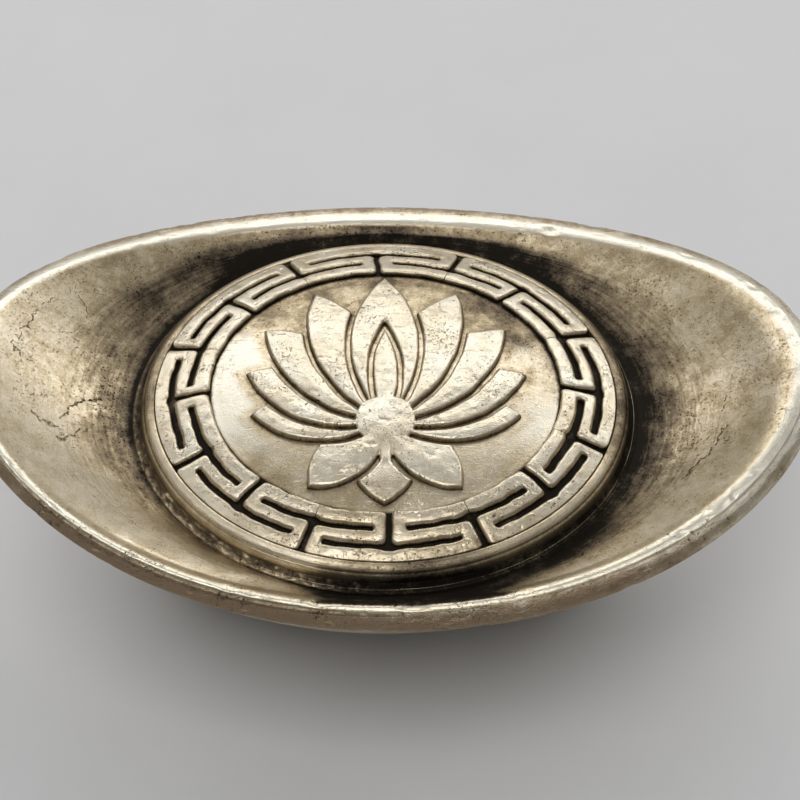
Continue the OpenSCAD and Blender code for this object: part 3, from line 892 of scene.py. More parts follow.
class INGOT_OT_hull(bpy.types.Operator):
    """Build the flared boat wall and the plate that closes its foot"""

    bl_idname = "ingot.hull"
    bl_label = "Hull and foot"

    def execute(self, context):
        sizes = context.scene.ingot_sizes
        angle = turn(HULL_AROUND)[None, :]
        foot_length, foot_width = sizes.foot_half_length, sizes.foot_half_width
        metal = aged_metal(context, "hull silver", specks=0.9, bump=0.03 * MM)

        def side(inset, share):
            """Rows from the foot's oval to the rim: across by a power of the share, up by the share."""
            low = oval_points(foot_length - inset, foot_width - inset, angle, HULL_LOW.z)
            high = rim_points(sizes, angle, sizes.wire + sizes.gap + inset, sizes.wire_height)
            return between(low, high, share ** FLARE_POWER, share)

        share = np.linspace(0, 1, HULL_ROWS)[:, None]
        outside = side(0, share)
        swell = uneven(outside, WALL_WAVES, 71) * ease(share, 0, 0.1) * ease(1 - share, 0, 0.1)
        outside = side(swell, share)
        mouth_inset = sizes.wire + sizes.gap + np.array([[0.0], [sizes.wall]])
        mouth = rim_points(sizes, angle, mouth_inset, sizes.sheet + sizes.gap)
        inside = side(sizes.wall, np.linspace(1, 0, HULL_INNER_ROWS)[:, None])
        rows = np.concatenate([outside, mouth, inside])
        height = np.clip(rows[..., 2] / sizes.tip_height, 0, 1)
        grime = HIGH_GRIME * ease(height, 0.6, 0.95) + LOW_GRIME * ease(0.16 - height, 0, 0.12)
        grime = grime + WALL_BLOTCHES * ease(rough_cloud(rows, 8 * MM, 73), 0, 0.7)
        worn = WALL_RUB * ease(rough_cloud(rows, 11 * MM, 74), 0.1, 0.6) * bell(height, 0.45, 0.3)
        brown = WALL_BROWN * ease(height, 0.5, 0.9)
        marks = {"grime": grime, "worn": worn, "brown": brown}
        faces = [band_faces(len(rows), HULL_AROUND, True)]
        make_piece("hull_wall_flared", rows, faces, marks, metal, ["hull_wall"])
        self.foot(sizes, angle, metal)
        return {"FINISHED"}

    def foot(self, sizes, angle, metal):
        """The foot plate: a rounded rim, a face that is hollowed a little, and a flat back inside."""
        foot_length, foot_width = sizes.foot_half_length, sizes.foot_half_width
        radius, rise = np.array(FOOT_SECTION).T[..., None]
        bottom = oval_points(foot_length * radius, foot_width * radius, angle, rise * MM)
        spigot_height = np.array([[FOOT_SECTION[-1][1] * MM], [FOOT_HIGH.z]])
        spigot = oval_points(foot_length - sizes.wall, foot_width - sizes.wall, angle, spigot_height)
        poles = [[0, 0, FOOT_SECTION[0][1] * MM], [0, 0, FOOT_HIGH.z]]
        points, faces = capped(np.concatenate([bottom, spigot]), poles)
        reach = np.hypot(points[:, 0] / foot_length, points[:, 1] / foot_width)
        grime = 0.55 - 0.5 * bell(reach, FOOT_REST, 0.08) + 0.35 * rough_cloud(points, 6 * MM, 75)
        marks = {"grime": grime, "worn": bell(reach, FOOT_REST, 0.06), "brown": np.full(len(points), 0.2)}
        make_piece("foot_plate_oval", points, faces, marks, metal, ["foot_plate"])


CAP_AROUND = 680
FIELD_ROWS = 88
RING_ROWS = 12
# The shoulder's inner edge, which stands beside the fret: place out and up in mm
EDGE_OUT = (0.005, 0.012, 0.03, 0.06, 0.12)
EDGE_UP = (0.0, 0.25, 0.42, 0.5, 0.53)
SHOULDER_ROWS = 26
WALL_ROWS = 4
# How far the top of the shoulder's roll stands above that edge, and the groove that runs round the roll:
# its depth, place and width, these two by the swing from the top
ROLL_LIFT = 0.02 * MM
ROLL_GROOVE, GROOVE_AT, GROOVE_WIDTH = 0.09 * MM, 0.85, 0.09
# How far the field lies below the crown, and the height and size of its broad and fine waves
FIELD_SINK = 0.05 * MM
FIELD_WAVES = ((0.035, 5), (0.012, 1.3))
# Play between the collar and the sheet's hole
COLLAR_PLAY = 0.05 * MM
# Grime on the shoulder's roll and towards its foot at each bearing; that on the roll is partly painted
# shade
ROLL_BEARINGS = (
    0, 20, 40, 90, 110, 125, 145, 165, 182, 195, 215, 240, 250, 265, 280, 295, 315, 332, 345
)
ROLL_TARNISH_AND_SHADE = (
    0.55, 0.52, 0.3, 0.2, 0.1, 0.2, 0.42, 0.48, 0.48, 0.1, 0.0, 0.0, 0.05, 0.5, 0.6, 0.25, 0.12, 0.15, 0.5
)
FOOT_BEARINGS = (0, 30, 60, 90, 130, 165, 180, 230, 260, 275, 300, 325)
FOOT_GRIME = (0.5, 0.35, 0.45, 0.4, 0.4, 0.4, 0.35, 0.2, 0.25, 0.55, 0.45, 0.4)
# Grime in the line between the shoulder and the fret at each bearing
LINE_BEARINGS = (0, 60, 90, 120, 180, 270)
LINE_GRIME = (0.35, 0.15, 0.1, 0.1, 0.1, 0.3)
# Grime in the groove, and the groove's place as a share of the swing
GROOVE_GRIME, GROOVE_SHARE = 0.3, 0.54
# Grime in patches of the shoulder, and wear on its roll
SHOULDER_PATCHES, ROLL_WORN = 0.15, 0.3
# Streaks run round the shoulder: the radius that sets their number in a turn, their number across it, and
# their strength
ROLL_STREAK_RADIUS, ROLL_STREAKS, ROLL_STREAK_STRENGTH = 8, 18, 0.8
# Zones of the field: the places where each one starts and is full, and its grime where it has some; the
# grime of the ends is painted shade of the domed top
ENDS_ZONE, ENDS_PAINTED_SHADE = (4 * MM, 11 * MM), 0.1
REAR_ZONE, REAR_GRIME = (3 * MM, 10 * MM), 0.2
RIGHT_ZONE, RIGHT_GRIME = (6 * MM, 14 * MM), 0.15
LEFT_ZONE = (-2 * MM, 12 * MM)
# The zone at the low right, which lies aslant, and the grime taken away there, which is rubbing and partly
# a painted highlight
LOW_RIGHT_ZONE, LOW_RIGHT_SLANT, LOW_RIGHT_CLEAN_AND_HIGHLIGHT = (16 * MM, 24 * MM), 1.6, 0.27
# Grime close to the flower and in a wide hem round it, the same beside the fret, where the dark line is
# partly painted contact shadow, and in patches
CLOSE_GRIME, HEM_GRIME = 0.2, 0.14
BORDER_PATINA_AND_SHADE, BORDER_HEM_GRIME = 0.3, 0.18
FIELD_PATCHES, FIELD_MOTTLES = 0.18, 0.1
# Wear of the field all over, and what the left and the low right add, which is partly a painted highlight
FIELD_WORN, LEFT_WEAR_AND_HIGHLIGHT, LOW_RIGHT_WEAR_AND_HIGHLIGHT = 0.4, 0.4, 0.3


def petal_reach(x, y, long, wide, grow):
    """Signed distance to a pointed petal on the origin: the larger distance to its two circles."""
    radius = (long * long + wide * wide) / (4 * wide)
    shift = radius - wide / 2
    right = np.hypot(x - shift, y - long / 2)
    left = np.hypot(x + shift, y - long / 2)
    return np.maximum(right, left) - radius - grow


def pair_reach(x, y, shape, long, wide, grow):
    """Signed distance to a petal and its mirror image, tilted from the flower's axis."""
    tilt = np.radians(shape[0])
    flat = np.abs(x) if shape[0] % 180 else x
    across = flat * np.cos(tilt) - y * np.sin(tilt)
    along = flat * np.sin(tilt) + y * np.cos(tilt)
    return petal_reach(across, along, long * shape[1], wide * shape[2], grow)


def spray_reach(x, y, shapes, long, wide, gap):
    """Signed distance to petals that each lie behind those before, with a groove between."""
    near, cut = None, None
    for shape in shapes:
        own = pair_reach(x, y, shape, long, wide, 0)
        shown = own if cut is None else np.maximum(own, -cut)
        near = shown if near is None else np.minimum(near, shown)
        grown = pair_reach(x, y, shape, long, wide, gap)
        cut = grown if cut is None else np.minimum(cut, grown)
    return near, cut


def flower_reach(sizes, x, y):
    """Signed distance to the lotus: upper and lower sprays, calyx and stalk joined."""
    y = y - sizes.flower_root
    upper, cut = spray_reach(x, y, UPPER_PETALS, sizes.tall_petal, sizes.tall_petal_width, sizes.petal_gap)
    lower, _ = spray_reach(x, y, LOWER_PETALS, sizes.low_petal, sizes.low_petal_width, sizes.petal_gap)
    lower = np.maximum(lower, -cut)
    calyx = np.hypot(x, y) - sizes.calyx
    stalk = np.maximum(np.abs(x) - sizes.stalk / 2, np.maximum(y, -y - sizes.low_petal * STALK_REACH))
    return np.minimum(np.minimum(upper, lower), np.minimum(calyx, stalk))


class INGOT_OT_boss(bpy.types.Operator):
    """Build the struck cap with its field, land, shoulder and collar"""

    bl_idname = "ingot.boss"
    bl_label = "Boss cap"

    def execute(self, context):
        sizes = context.scene.ingot_sizes
        angle = turn(CAP_AROUND)[None, :]
        edge = sizes.boss_half_length
        land, inner = land_edge(sizes), field_edge(sizes)
        land_low = sizes.land_height - EDGE_FALL
        wall_top = sizes.seat_height + sizes.seam_height - sizes.gap
        field = np.linspace(0, inner, FIELD_ROWS + 1)[1:, None]
        ring = np.linspace(inner, land, RING_ROWS + 1)[1:, None]
        flat = np.concatenate([field, ring])
        swing = np.linspace(0, np.pi / 2, SHOULDER_ROWS + 1)[1:, None]
        edge_out = np.array(EDGE_OUT)[:, None] * MM
        edge_up = np.array(EDGE_UP)[:, None] * MM
        roll_start = land + edge_out[-1]
        round_off = roll_start + (edge - roll_start) * np.sin(swing)
        roll_top = land_low + edge_up[-1] + ROLL_LIFT
        fall = wall_top + (roll_top - wall_top) * np.cos(swing)
        groove = ROLL_GROOVE * bell(swing, GROOVE_AT, GROOVE_WIDTH)
        round_off = round_off - groove * np.sin(swing)
        fall = fall - groove * np.cos(swing)
        low = np.linspace(wall_top, sizes.seat_height, WALL_ROWS + 1)[1:, None]
        collar = np.full((2, 1), land - COLLAR_PLAY)
        collar_height = np.array([[sizes.seat_height], [CAP_LOW.z]])
        radius = np.concatenate([flat, land + edge_out, round_off, np.full_like(low, edge), collar])
        level = np.full_like(flat, sizes.land_height)
        height = np.concatenate([level, land_low + edge_up, fall, low, collar_height])
        rows = boss_points(sizes, angle, radius, height)
        reach = flower_reach(sizes, rows[..., 0], rows[..., 1])
        in_field = ease(inner - radius, 0, 1 * MM)
        swell = uneven(rows, FIELD_WAVES, 81)
        top = rows[:len(flat)]
        top[..., 2] = dome_height(sizes, top[..., 0], top[..., 1])
        rows[..., 2] += in_field * (swell - FIELD_SINK)
        poles = [[0, 0, dome_height(sizes, 0, 0) - FIELD_SINK], [0, 0, CAP_LOW.z]]
        points, faces = capped(rows, poles)
        marks = self.marks(rows, radius, angle, reach, inner)
        for name, value in marks.items():
            last = (3,) if name == "flow" else ()
            value = np.broadcast_to(value, rows.shape[:2] + last).reshape((-1,) + last)
            marks[name] = np.concatenate([value, value[[0, -1]]])
        metal = aged_metal(context, "boss silver", specks=0.6, bump=0.022 * MM, streaks=0.4)
        make_piece("boss_cap_struck", points, faces, marks, metal, ["boss_cap"])
        return {"FINISHED"}

    def marks(self, rows, radius, angle, reach, inner):
        """Patina in the slots, round the flower and at the foot of the shoulder; wear and a painted
        highlight at the sides, painted shade at the field's ends.
        """
        row = np.arange(len(radius))[:, None]
        first_edge = FIELD_ROWS + RING_ROWS
        first_roll = first_edge + len(EDGE_OUT)
        shoulder = row >= first_edge
        groove = shoulder * ease(first_roll - row, 0, 3)
        swing = np.clip((row - first_roll + 1) / SHOULDER_ROWS, 0, 1)
        patchy = rough_cloud(rows, 4 * MM, 83)
        mottle = rough_cloud(rows, 1.3 * MM, 85)
        close = CLOSE_GRIME * ease(0.28 * MM - reach, 0, 0.2 * MM)
        close = close + HEM_GRIME * ease(1.6 * MM + 0.9 * MM * patchy - reach, 0, 1.4 * MM)
        # The dark line beside the fret is partly patina and partly painted contact shadow
        border = BORDER_PATINA_AND_SHADE * ease(radius, inner - 0.45 * MM, inner - 0.1 * MM)
        hem = ease(radius + 0.8 * MM * patchy, inner - 2.8 * MM, inner - 0.2 * MM)
        border = border + BORDER_HEM_GRIME * hem
        x, y = rows[..., 0], rows[..., 1]
        # The field's ends get painted shade, which also holds back wear there
        ends = ease(np.abs(y), *ENDS_ZONE)
        # The left and the low right get wear and a painted highlight
        left = ease(-x, *LEFT_ZONE)
        low_right_rub_and_highlight = ease(x - LOW_RIGHT_SLANT * y, *LOW_RIGHT_ZONE)
        grime = close + border + ENDS_PAINTED_SHADE * ends + REAR_GRIME * ease(y, *REAR_ZONE)
        grime = grime + FIELD_PATCHES * patchy + FIELD_MOTTLES * mottle
        grime = grime + RIGHT_GRIME * ease(x, *RIGHT_ZONE) - LOW_RIGHT_CLEAN_AND_HIGHLIGHT * low_right_rub_and_highlight
        grime = np.where(radius > inner - 0.15 * MM, 1.0, grime)
        foot = by_bearing(angle, FOOT_BEARINGS, FOOT_GRIME)
        line = by_bearing(angle, LINE_BEARINGS, LINE_GRIME)
        side = foot * ease(swing, 0.5, 1.0) + line * groove
        side = side + GROOVE_GRIME * bell(swing, GROOVE_SHARE, 0.05)
        # Grime on the roll by bearing: partly tarnish, partly painted shade
        plain = by_bearing(angle, ROLL_BEARINGS, ROLL_TARNISH_AND_SHADE)
        grime = np.where(shoulder, side + plain + SHOULDER_PATCHES * patchy, grime)
        worn = FIELD_WORN + LEFT_WEAR_AND_HIGHLIGHT * left + LOW_RIGHT_WEAR_AND_HIGHLIGHT * low_right_rub_and_highlight
        worn = worn * (1 - ends) * ease(reach, 0.3 * MM, 1.6 * MM)
        worn = np.where(shoulder, ROLL_WORN * bell(swing, 0.2, 0.2), worn)
        flow = oval_points(ROLL_STREAK_RADIUS, ROLL_STREAK_RADIUS, angle, ROLL_STREAKS * swing)
        streak = ROLL_STREAK_STRENGTH * shoulder
        return {"grime": grime, "worn": worn, "brown": 0 * worn, "flow": flow, "streak": streak}


SEAM_AROUND = 1100
# The fillet from the boss's wall out to the seat, and back under it: place out and up in mm
SEAM_SECTION = (
    (0, 0), (0, 0.4), (0, 0.76), (0.04, 0.7), (0.1, 0.6), (0.17, 0.5), (0.24, 0.4),
    (0.3, 0.33), (0.36, 0.27), (0.4, 0.24), (0.425, 0.22), (0.44, 0.21), (0.455, 0.2), (0.48, 0.185),
    (0.52, 0.165), (0.58, 0.13), (0.66, 0.09), (0.75, 0.05), (0.86, 0.02), (0.86, 0), (0.4, 0),
)
# Place, width and height of the hairline ridge on the fillet, whose marks paint a bright glint on it, and
# its strength at each bearing
HAIR_AT = 0.44 * MM
HAIR_WIDTH = 0.026 * MM
HAIR_HEIGHT = 0.07 * MM
HAIR_BEARINGS = (0, 40, 75, 180, 232, 245, 262, 330)
HAIR_STRENGTH = (1, 0.8, 0, 0, 0, 0.8, 1, 1)
# How lumpy and how clear of patina the crust is at each bearing
CRUST_BEARINGS = (0, 90, 130, 175, 195, 212, 240, 262, 280)
CRUST_LUMPY = (0, 0.1, 0.2, 0.25, 0.45, 1, 1, 0.6, 0)
CLEAR_BEARINGS = (90, 150, 195, 212, 250, 264)
CRUST_CLEAR = (0, 0.5, 0.5, 1, 0.8, 0)
# Height of the crust's lumps and of the whole crust, and of the small lumps beside it
CRUST_LUMP, CRUST_LIFT, SMALL_LUMP = 0.22 * MM, 0.1 * MM, 0.02 * MM
# How far the crust's top stays below the top of the solid fillet
SEAM_MARGIN = 0.04 * MM


class INGOT_OT_solder(bpy.types.Operator):
    """Build the solder round the boss: a grainy crust at the left and front, a thin line at the right"""

    bl_idname = "ingot.solder"
    bl_label = "Boss solder"

    def execute(self, context):
        sizes = context.scene.ingot_sizes
        angle = turn(SEAM_AROUND)[None, :]
        crust = by_bearing(angle, CRUST_BEARINGS, CRUST_LUMPY)
        out, up = np.array(SEAM_SECTION).T[..., None] * MM
        free = ease(out, 0.02 * MM, 0.2 * MM) * ease(up, 0.0, 0.06 * MM)
        near = sizes.boss_half_length + sizes.gap
        plain = boss_points(sizes, angle, near + out, sizes.seat_height + up)
        lump = rough_cloud(plain, 0.8 * MM, 91) + 0.7 * rough_cloud(plain, 0.35 * MM, 92)
        lift = free * (crust * (CRUST_LUMP * lump + CRUST_LIFT) + SMALL_LUMP * lump)
        hair = bell(out, HAIR_AT, HAIR_WIDTH) * (up > 0.01 * MM)
        hair = hair * by_bearing(angle, HAIR_BEARINGS, HAIR_STRENGTH)
        hair = hair * (0.7 + 0.6 * cloud(plain, 2.5 * MM, 93))
        height = np.clip(up + lift + HAIR_HEIGHT * hair, 0, sizes.seam_height - SEAM_MARGIN)
        rows = boss_points(sizes, angle, near + out + 0.4 * lift, sizes.seat_height + height)
        high = ease(lump, -0.1, 0.7) * crust
        clear = 0.26 + 0.3 * ease(out, 0.3 * MM, 0.75 * MM)
        clear = by_bearing(angle, CLEAR_BEARINGS, CRUST_CLEAR) * clear
        # The hairline's cleared grime and its wear are a painted highlight, a glint along the ridge
        marks = {
            "grime": 0.95 - 0.5 * high - 0.75 * hair - clear,
            "worn": 0.45 * hair,
            "brown": 0.5 * crust,
        }
        metal = aged_metal(context, "solder grey", specks=0.6, bump=0.04 * MM)
        faces = [band_faces(len(out), SEAM_AROUND, True)]
        make_piece("boss_solder_seam", rows, faces, marks, metal, ["boss_solder"])
        return {"FINISHED"}


# The share of the relief's height that its rounded edge has; its crown has the rest
EDGE_SHARE = 0.88
# Height and size of the waves on the relief's top, depth of its pits, and how far wear lowers it
RELIEF_WAVES = ((0.04, 2.2), (0.03, 0.8))
RELIEF_PIT, RELIEF_SINK = 0.14 * MM, 0.05 * MM


def relief_mesh(sizes, across, along, reach, worn_reach, place, height, rounding, crown):
    """A flat-backed relief over the grid cells whose middle lies inside a signed distance.

    Points on the outline are moved onto it along the distance's slope. The top rises from the boss
    by a quarter circle over the rounding, and by a little more over the width of the crown, both
    measured from the edges that wear has rounded.
    Returns points, faces and the depth inside those edges.
    """
    rows, cols = len(along), len(across)
    u, v = np.meshgrid(across, along)
    cell_u, cell_v = np.meshgrid((across[1:] + across[:-1]) / 2, (along[1:] + along[:-1]) / 2)
    keep = reach(cell_u, cell_v) < 0
    padded = np.pad(keep, 1)
    count = padded[:-1, :-1].astype(int) + padded[:-1, 1:] + padded[1:, :-1] + padded[1:, 1:]
    used = count > 0
    border = used & (count < 4)
    tiny = 0.01 * MM
    depth = reach(u, v)
    slope_u = (reach(u + tiny, v) - reach(u - tiny, v)) / (2 * tiny)
    slope_v = (reach(u, v + tiny) - reach(u, v - tiny)) / (2 * tiny)
    steep = np.maximum(slope_u ** 2 + slope_v ** 2, 0.2)
    most = along[1] - along[0]
    near = np.abs(depth) < 1.5 * most
    move_u = np.clip(depth * slope_u / steep, -most, most)
    move_v = np.clip(depth * slope_v / steep, -most, most)
    u = np.where(border & near, u - move_u, u)
    v = np.where(border & near, v - move_v, v)
    soft = worn_reach(u, v)
    inside = np.where(border & (np.abs(soft) < 1.5 * most), 0, np.maximum(-soft, 0))
    part = np.clip(inside / rounding, 0, 1)
    rise = height * (EDGE_SHARE * np.sqrt(1 - (1 - part) ** 2) + (1 - EDGE_SHARE) * ease(inside, 0, crown))
    x, y = place(u, v)
    foot = dome_height(sizes, x, y) + sizes.gap
    top = np.stack([x, y, foot + np.where(border, 0, rise)], axis=-1)
    pits = np.maximum(rough_cloud(top, 0.7 * MM, 103) - 0.25, 0)
    ridge = uneven(top, RELIEF_WAVES, 101) - RELIEF_PIT * pits
    top[..., 2] += (ridge - RELIEF_SINK) * part * ~border
    bottom = np.stack([x, y, foot], axis=-1)
    top_count = used.sum()
    top_index = np.full((rows, cols), -1)
    top_index[used] = np.arange(top_count)
    inner = used & ~border
    bottom_index = top_index.copy()
    bottom_index[inner] = top_count + np.arange(inner.sum())
    points = np.concatenate([top[used], bottom[inner]])
    deep = np.concatenate([inside[used], np.zeros(inner.sum())])

    def cells(index):
        """The four corners of each kept cell."""
        quads = (index[:-1, :-1], index[:-1, 1:], index[1:, 1:], index[1:, :-1])
        return np.stack([quad[keep] for quad in quads], axis=-1)

    # A cell with all its corners on the outline has no underside of its own
    under = cells(bottom_index)[:, ::-1]
    under = under[(under >= top_count).any(axis=1)]
    return points, [cells(top_index), under], deep


# Grime along the relief's foot, in a hem above it and in spots
FOOT_LINE, FOOT_HEM, SPOT_GRIME = 0.6, 0.12, 0.22
# The front, darker partly by grime and partly by painted shade: the places where it starts and is full, its
# grime, its patches, and how much wear it lacks
FRONT_ZONE, FRONT_DIRT_AND_SHADE, FRONT_PATCHES, FRONT_SPARED = (9 * MM, 19 * MM), 0.12, 0.25, 0.6
# The back in the same way, also partly painted shade, and how much wear varies all over
BACK_ZONE, BACK_DIRT_AND_SHADE = (11 * MM, 17 * MM), 0.14
WEAR_PATCHES = 0.4


def relief_marks(points, deep, seed, rub):
    """Dark at the foot of the relief and rubbed bright on its top, with a little dirt left in spots; darker
    at the front and back, partly by painted shade.
    """
    spots = ease(rough_cloud(points, 1.4 * MM, seed), 0.1, 0.7)
    front = ease(-points[:, 1], *FRONT_ZONE)
    grime = FOOT_LINE * ease(0.08 * MM - deep, 0, 0.07 * MM)
    grime = grime + FOOT_HEM * ease(0.25 * MM - deep, 0, 0.2 * MM) + SPOT_GRIME * spots
    # The front and back get dirt and painted shade
    grime = grime + front * (FRONT_DIRT_AND_SHADE + FRONT_PATCHES * rough_cloud(points, 2.5 * MM, seed + 5))
    grime = grime + BACK_DIRT_AND_SHADE * ease(points[:, 1], *BACK_ZONE)
    rub = rub + WEAR_PATCHES * rough_cloud(points, 3 * MM, seed + 3)
    worn = ease(deep, 0.1 * MM, 0.35 * MM) * rub * (1 - FRONT_SPARED * front)
    return {"grime": grime, "worn": worn, "brown": np.zeros(len(points))}


def box_reach(u, v, low_u, high_u, low_v, high_v):
    """Signed distance to a rectangle."""
    flat = np.maximum(low_u - u, u - high_u)
    tall = np.maximum(low_v - v, v - high_v)
    return np.hypot(np.maximum(flat, 0), np.maximum(tall, 0)) + np.minimum(np.maximum(flat, tall), 0)


def round_max(first, second, size):
    """The larger of two distances, with the corner between them rounded off."""
    near = np.maximum(size - np.abs(first - second), 0) / size
    return np.maximum(first, second) + near * near * size / 4


# Bearings of the fret's grooves from the back towards the right, in degrees: those that part the two
# keys of a link, and those that part a link from the next one
KEY_GROOVES = (-2.6, 42.2, 90.5, 131.4, 179.1, 221.6, 267.2, 309.9)
LINK_GROOVES = (20.4, 66.6, 110.6, 155.3, 200.4, 242.9, 287.6, 332.9)
# Size of the grid's cells, and of the narrow ones at a link's ends and beside the shoulder
FRET_CELL, NARROW_CELL = 0.06 * MM, 0.01 * MM
# Gap between the fret and the shoulder, and the rounding of the slots' ends and of the keys' corners
FRET_PLAY = 0.02 * MM
SLOT_BEND, KEY_CORNER = 0.22 * MM, 0.6 * MM
# Height and size of the waves in the keys' edges, across and along them
ACROSS_WAVES = ((0.13, 1.1), (0.15, 3.1))
ALONG_WAVES = ((0.1, 1.0), (0.12, 3.3))
# Width of the keys' rounded edge and of their crown
FRET_ROUNDING, FRET_CROWN = 0.4 * MM, 0.7 * MM
# What wear has left of the relief's height
WORN_LOW = 0.7


class INGOT_OT_fret(bpy.types.Operator):
    """Build the eight links of the fret border"""

    bl_idname = "ingot.fret"
    bl_label = "Fret links"

    def execute(self, context):
        sizes = context.scene.ingot_sizes
        metal = aged_metal(context, "relief silver", specks=1.4, bump=0.025 * MM)
        for number in range(1, LINK_COUNT + 1):
            self.link(sizes, metal, number)
        return {"FINISHED"}

    def link(self, sizes, metal, number):
        """One link: two keys side by side, parted by a groove and laid round the boss."""
        oval = boss_oval(sizes)
        outer, inner = land_edge(sizes), field_edge(sizes)
        half = np.pi / LINK_COUNT * ((outer + inner) / 2)
        outer_in = outer - sizes.outer_bar
        middle_out = outer_in - sizes.slot
        middle_in = middle_out - sizes.middle_bar
        inner_out = middle_in - sizes.slot
        groove, web = sizes.slot / 2, sizes.middle_bar
        far = 10 * MM
        middle = KEY_GROOVES[number - 1]
        ends = (LINK_GROOVES[number - 2] - 360 * (number == 1), LINK_GROOVES[number - 1])

        def place(u, v):
            """Unrolled length and radius to a place on the boss, by the angle from the back."""
            bearing = np.radians(np.interp(u, (-half, 0, half), (ends[0], middle, ends[1])))
            return v * np.sin(bearing), v * oval * np.cos(bearing)

        def keys(u, v, limit):
            """Two mirrored keys that share an outer bar: a band less its slots and grooves."""
            spot = stack(*place(u, v), sizes.land_height)
            free = ease(half - np.abs(u), 0, 1 * MM)
            u = u + free * uneven(spot, ACROSS_WAVES, 111)
            loose = ease(outer - v, 0.1 * MM, 0.9 * MM)
            v = v + loose * uneven(spot, ALONG_WAVES, 113)
            side = np.abs(u)
            tight = 0.1 * MM + 0.05 * MM * ease(spot[..., 1], 2 * MM, 14 * MM)
            tight = tight - 0.06 * MM * ease(spot[..., 0], 10 * MM, 18 * MM)
            band = box_reach(u, v, -half - far, half + far, inner, limit)
            voids = [
                (-groove, groove, inner - far, outer_in),
                (-far, half - groove - web, middle_out, outer_in),
                (groove + web, half + far, inner_out, middle_in),
                (half - groove, half + far, inner_out, outer + far),
            ]
            for low_u, high_u, low_v, high_v in voids:
                limits = (low_u + SLOT_BEND, high_u - SLOT_BEND, low_v + SLOT_BEND, high_v - SLOT_BEND)
                void = box_reach(side, v, *limits) - SLOT_BEND
                band = round_max(band, -void - tight, KEY_CORNER)
            return band

        def reach(u, v):
            """The keys up to the shoulder."""
            return keys(u, v, outer - FRET_PLAY)

        def worn_reach(u, v):
            """The keys without the edge that lies against the shoulder."""
            return keys(u, v, outer + far)

        end = half - sizes.gap
        inside = np.linspace(-end + NARROW_CELL, end - NARROW_CELL, round(2 * end / FRET_CELL))
        across = np.concatenate([[-end], inside, [end]])
        along = np.arange(inner - 3 * FRET_CELL, outer - FRET_CELL, FRET_CELL)
        along = np.append(along, [outer - FRET_PLAY - NARROW_CELL, outer - FRET_PLAY])
        rise = WORN_LOW * (sizes.fret_height - sizes.gap)
        points, faces, deep = relief_mesh(
            sizes, across, along, reach, worn_reach, place, rise, FRET_ROUNDING, FRET_CROWN)
        marks = relief_marks(points, deep, 121, 0.45)
        name = f"fret_link_{number}"
        make_piece(f"{name}_keys", points, faces, marks, metal, [name])


# Size of the grid's cells
FLOWER_CELL = 0.096 * MM
# Height and size of the waves in the flower's outline, how far it is grown, and the room left round it
FLOWER_WAVES = ((0.07, 1.4), (0.12, 4))
FLOWER_GROWTH = 0.09 * MM
FLOWER_MARGIN = 0.5 * MM
# Width of the petals' rounded edge and of their crown
FLOWER_ROUNDING, FLOWER_CROWN = 0.45 * MM, 2.0 * MM


class INGOT_OT_flower(bpy.types.Operator):
    """Build the lotus in the middle of the field"""

    bl_idname = "ingot.flower"
    bl_label = "Lotus"

    def execute(self, context):
        sizes = context.scene.ingot_sizes
        metal = aged_metal(context, "relief silver", specks=1.4, bump=0.025 * MM)

        def place(u, v):
            """The grid lies straight on the field."""
            return u, v

        def reach(u, v):
            """The flower's outline, a little uneven."""
            spot = stack(u, v, sizes.land_height)
            u = u + uneven(spot, FLOWER_WAVES, 131)
            v = v + uneven(spot, FLOWER_WAVES, 133)
            return flower_reach(sizes, u, v) - FLOWER_GROWTH

        across = np.arange(FLOWER_LOW.x - FLOWER_MARGIN, FLOWER_HIGH.x + FLOWER_MARGIN, FLOWER_CELL)
        along = np.arange(FLOWER_LOW.y - FLOWER_MARGIN, FLOWER_HIGH.y + FLOWER_MARGIN, FLOWER_CELL)
        rise = WORN_LOW * (sizes.flower_height - sizes.gap)
        points, faces, deep = relief_mesh(
            sizes, across, along, reach, reach, place, rise, FLOWER_ROUNDING, FLOWER_CROWN)
        marks = relief_marks(points, deep, 141, 0.5)
        make_piece("lotus_flower", points, faces, marks, metal, ["lotus_ornament"])
        return {"FINISHED"}


PHOTO_SIZE = 800
CAMERA_LENS = 90.7
CAMERA_DISTANCE = 200 * MM
CAMERA_RISE = np.radians(50.1)
AIM_PIXEL = (385.3, 389.4)
SENSOR_WIDTH = 36
CLIP_START = 0.01
FLOOR_HALF = 3.0
ROOM_COLOUR, ROOM_STRENGTH = (0.97, 0.99, 1, 1), 0.22
# The lamps: name, place, size and power
LAMPS = (
    ("window panel", (0.06, 0.61, 0.575), (1.8, 0.26), 4.7),
    ("backdrop panel", (0.25, 0.92, 0.13), (1.6, 0.24), 0.75),
    ("left panel", (-0.75, -0.03, 0.95), (0.5, 0.35), 1.1),
    ("right panel", (0.75, 0.0, 0.95), (0.5, 0.35), 0.4),
    ("ceiling panel", (-0.04, -0.19, 0.6), (0.34, 0.34), 1.2),
)


def area_lamp(name, place, aim, size, power):
    """A soft rectangular lamp that points at a place."""
    data = bpy.data.lights.new(name, "AREA")
    data.shape = "RECTANGLE"
    data.size, data.size_y = size
    data.energy = power
    lamp = bpy.data.objects.new(name, data)
    lamp.location = place
    lamp.rotation_euler = (Vector(aim) - Vector(place)).to_track_quat("-Z", "Y").to_euler()
    bpy.context.scene.collection.objects.link(lamp)


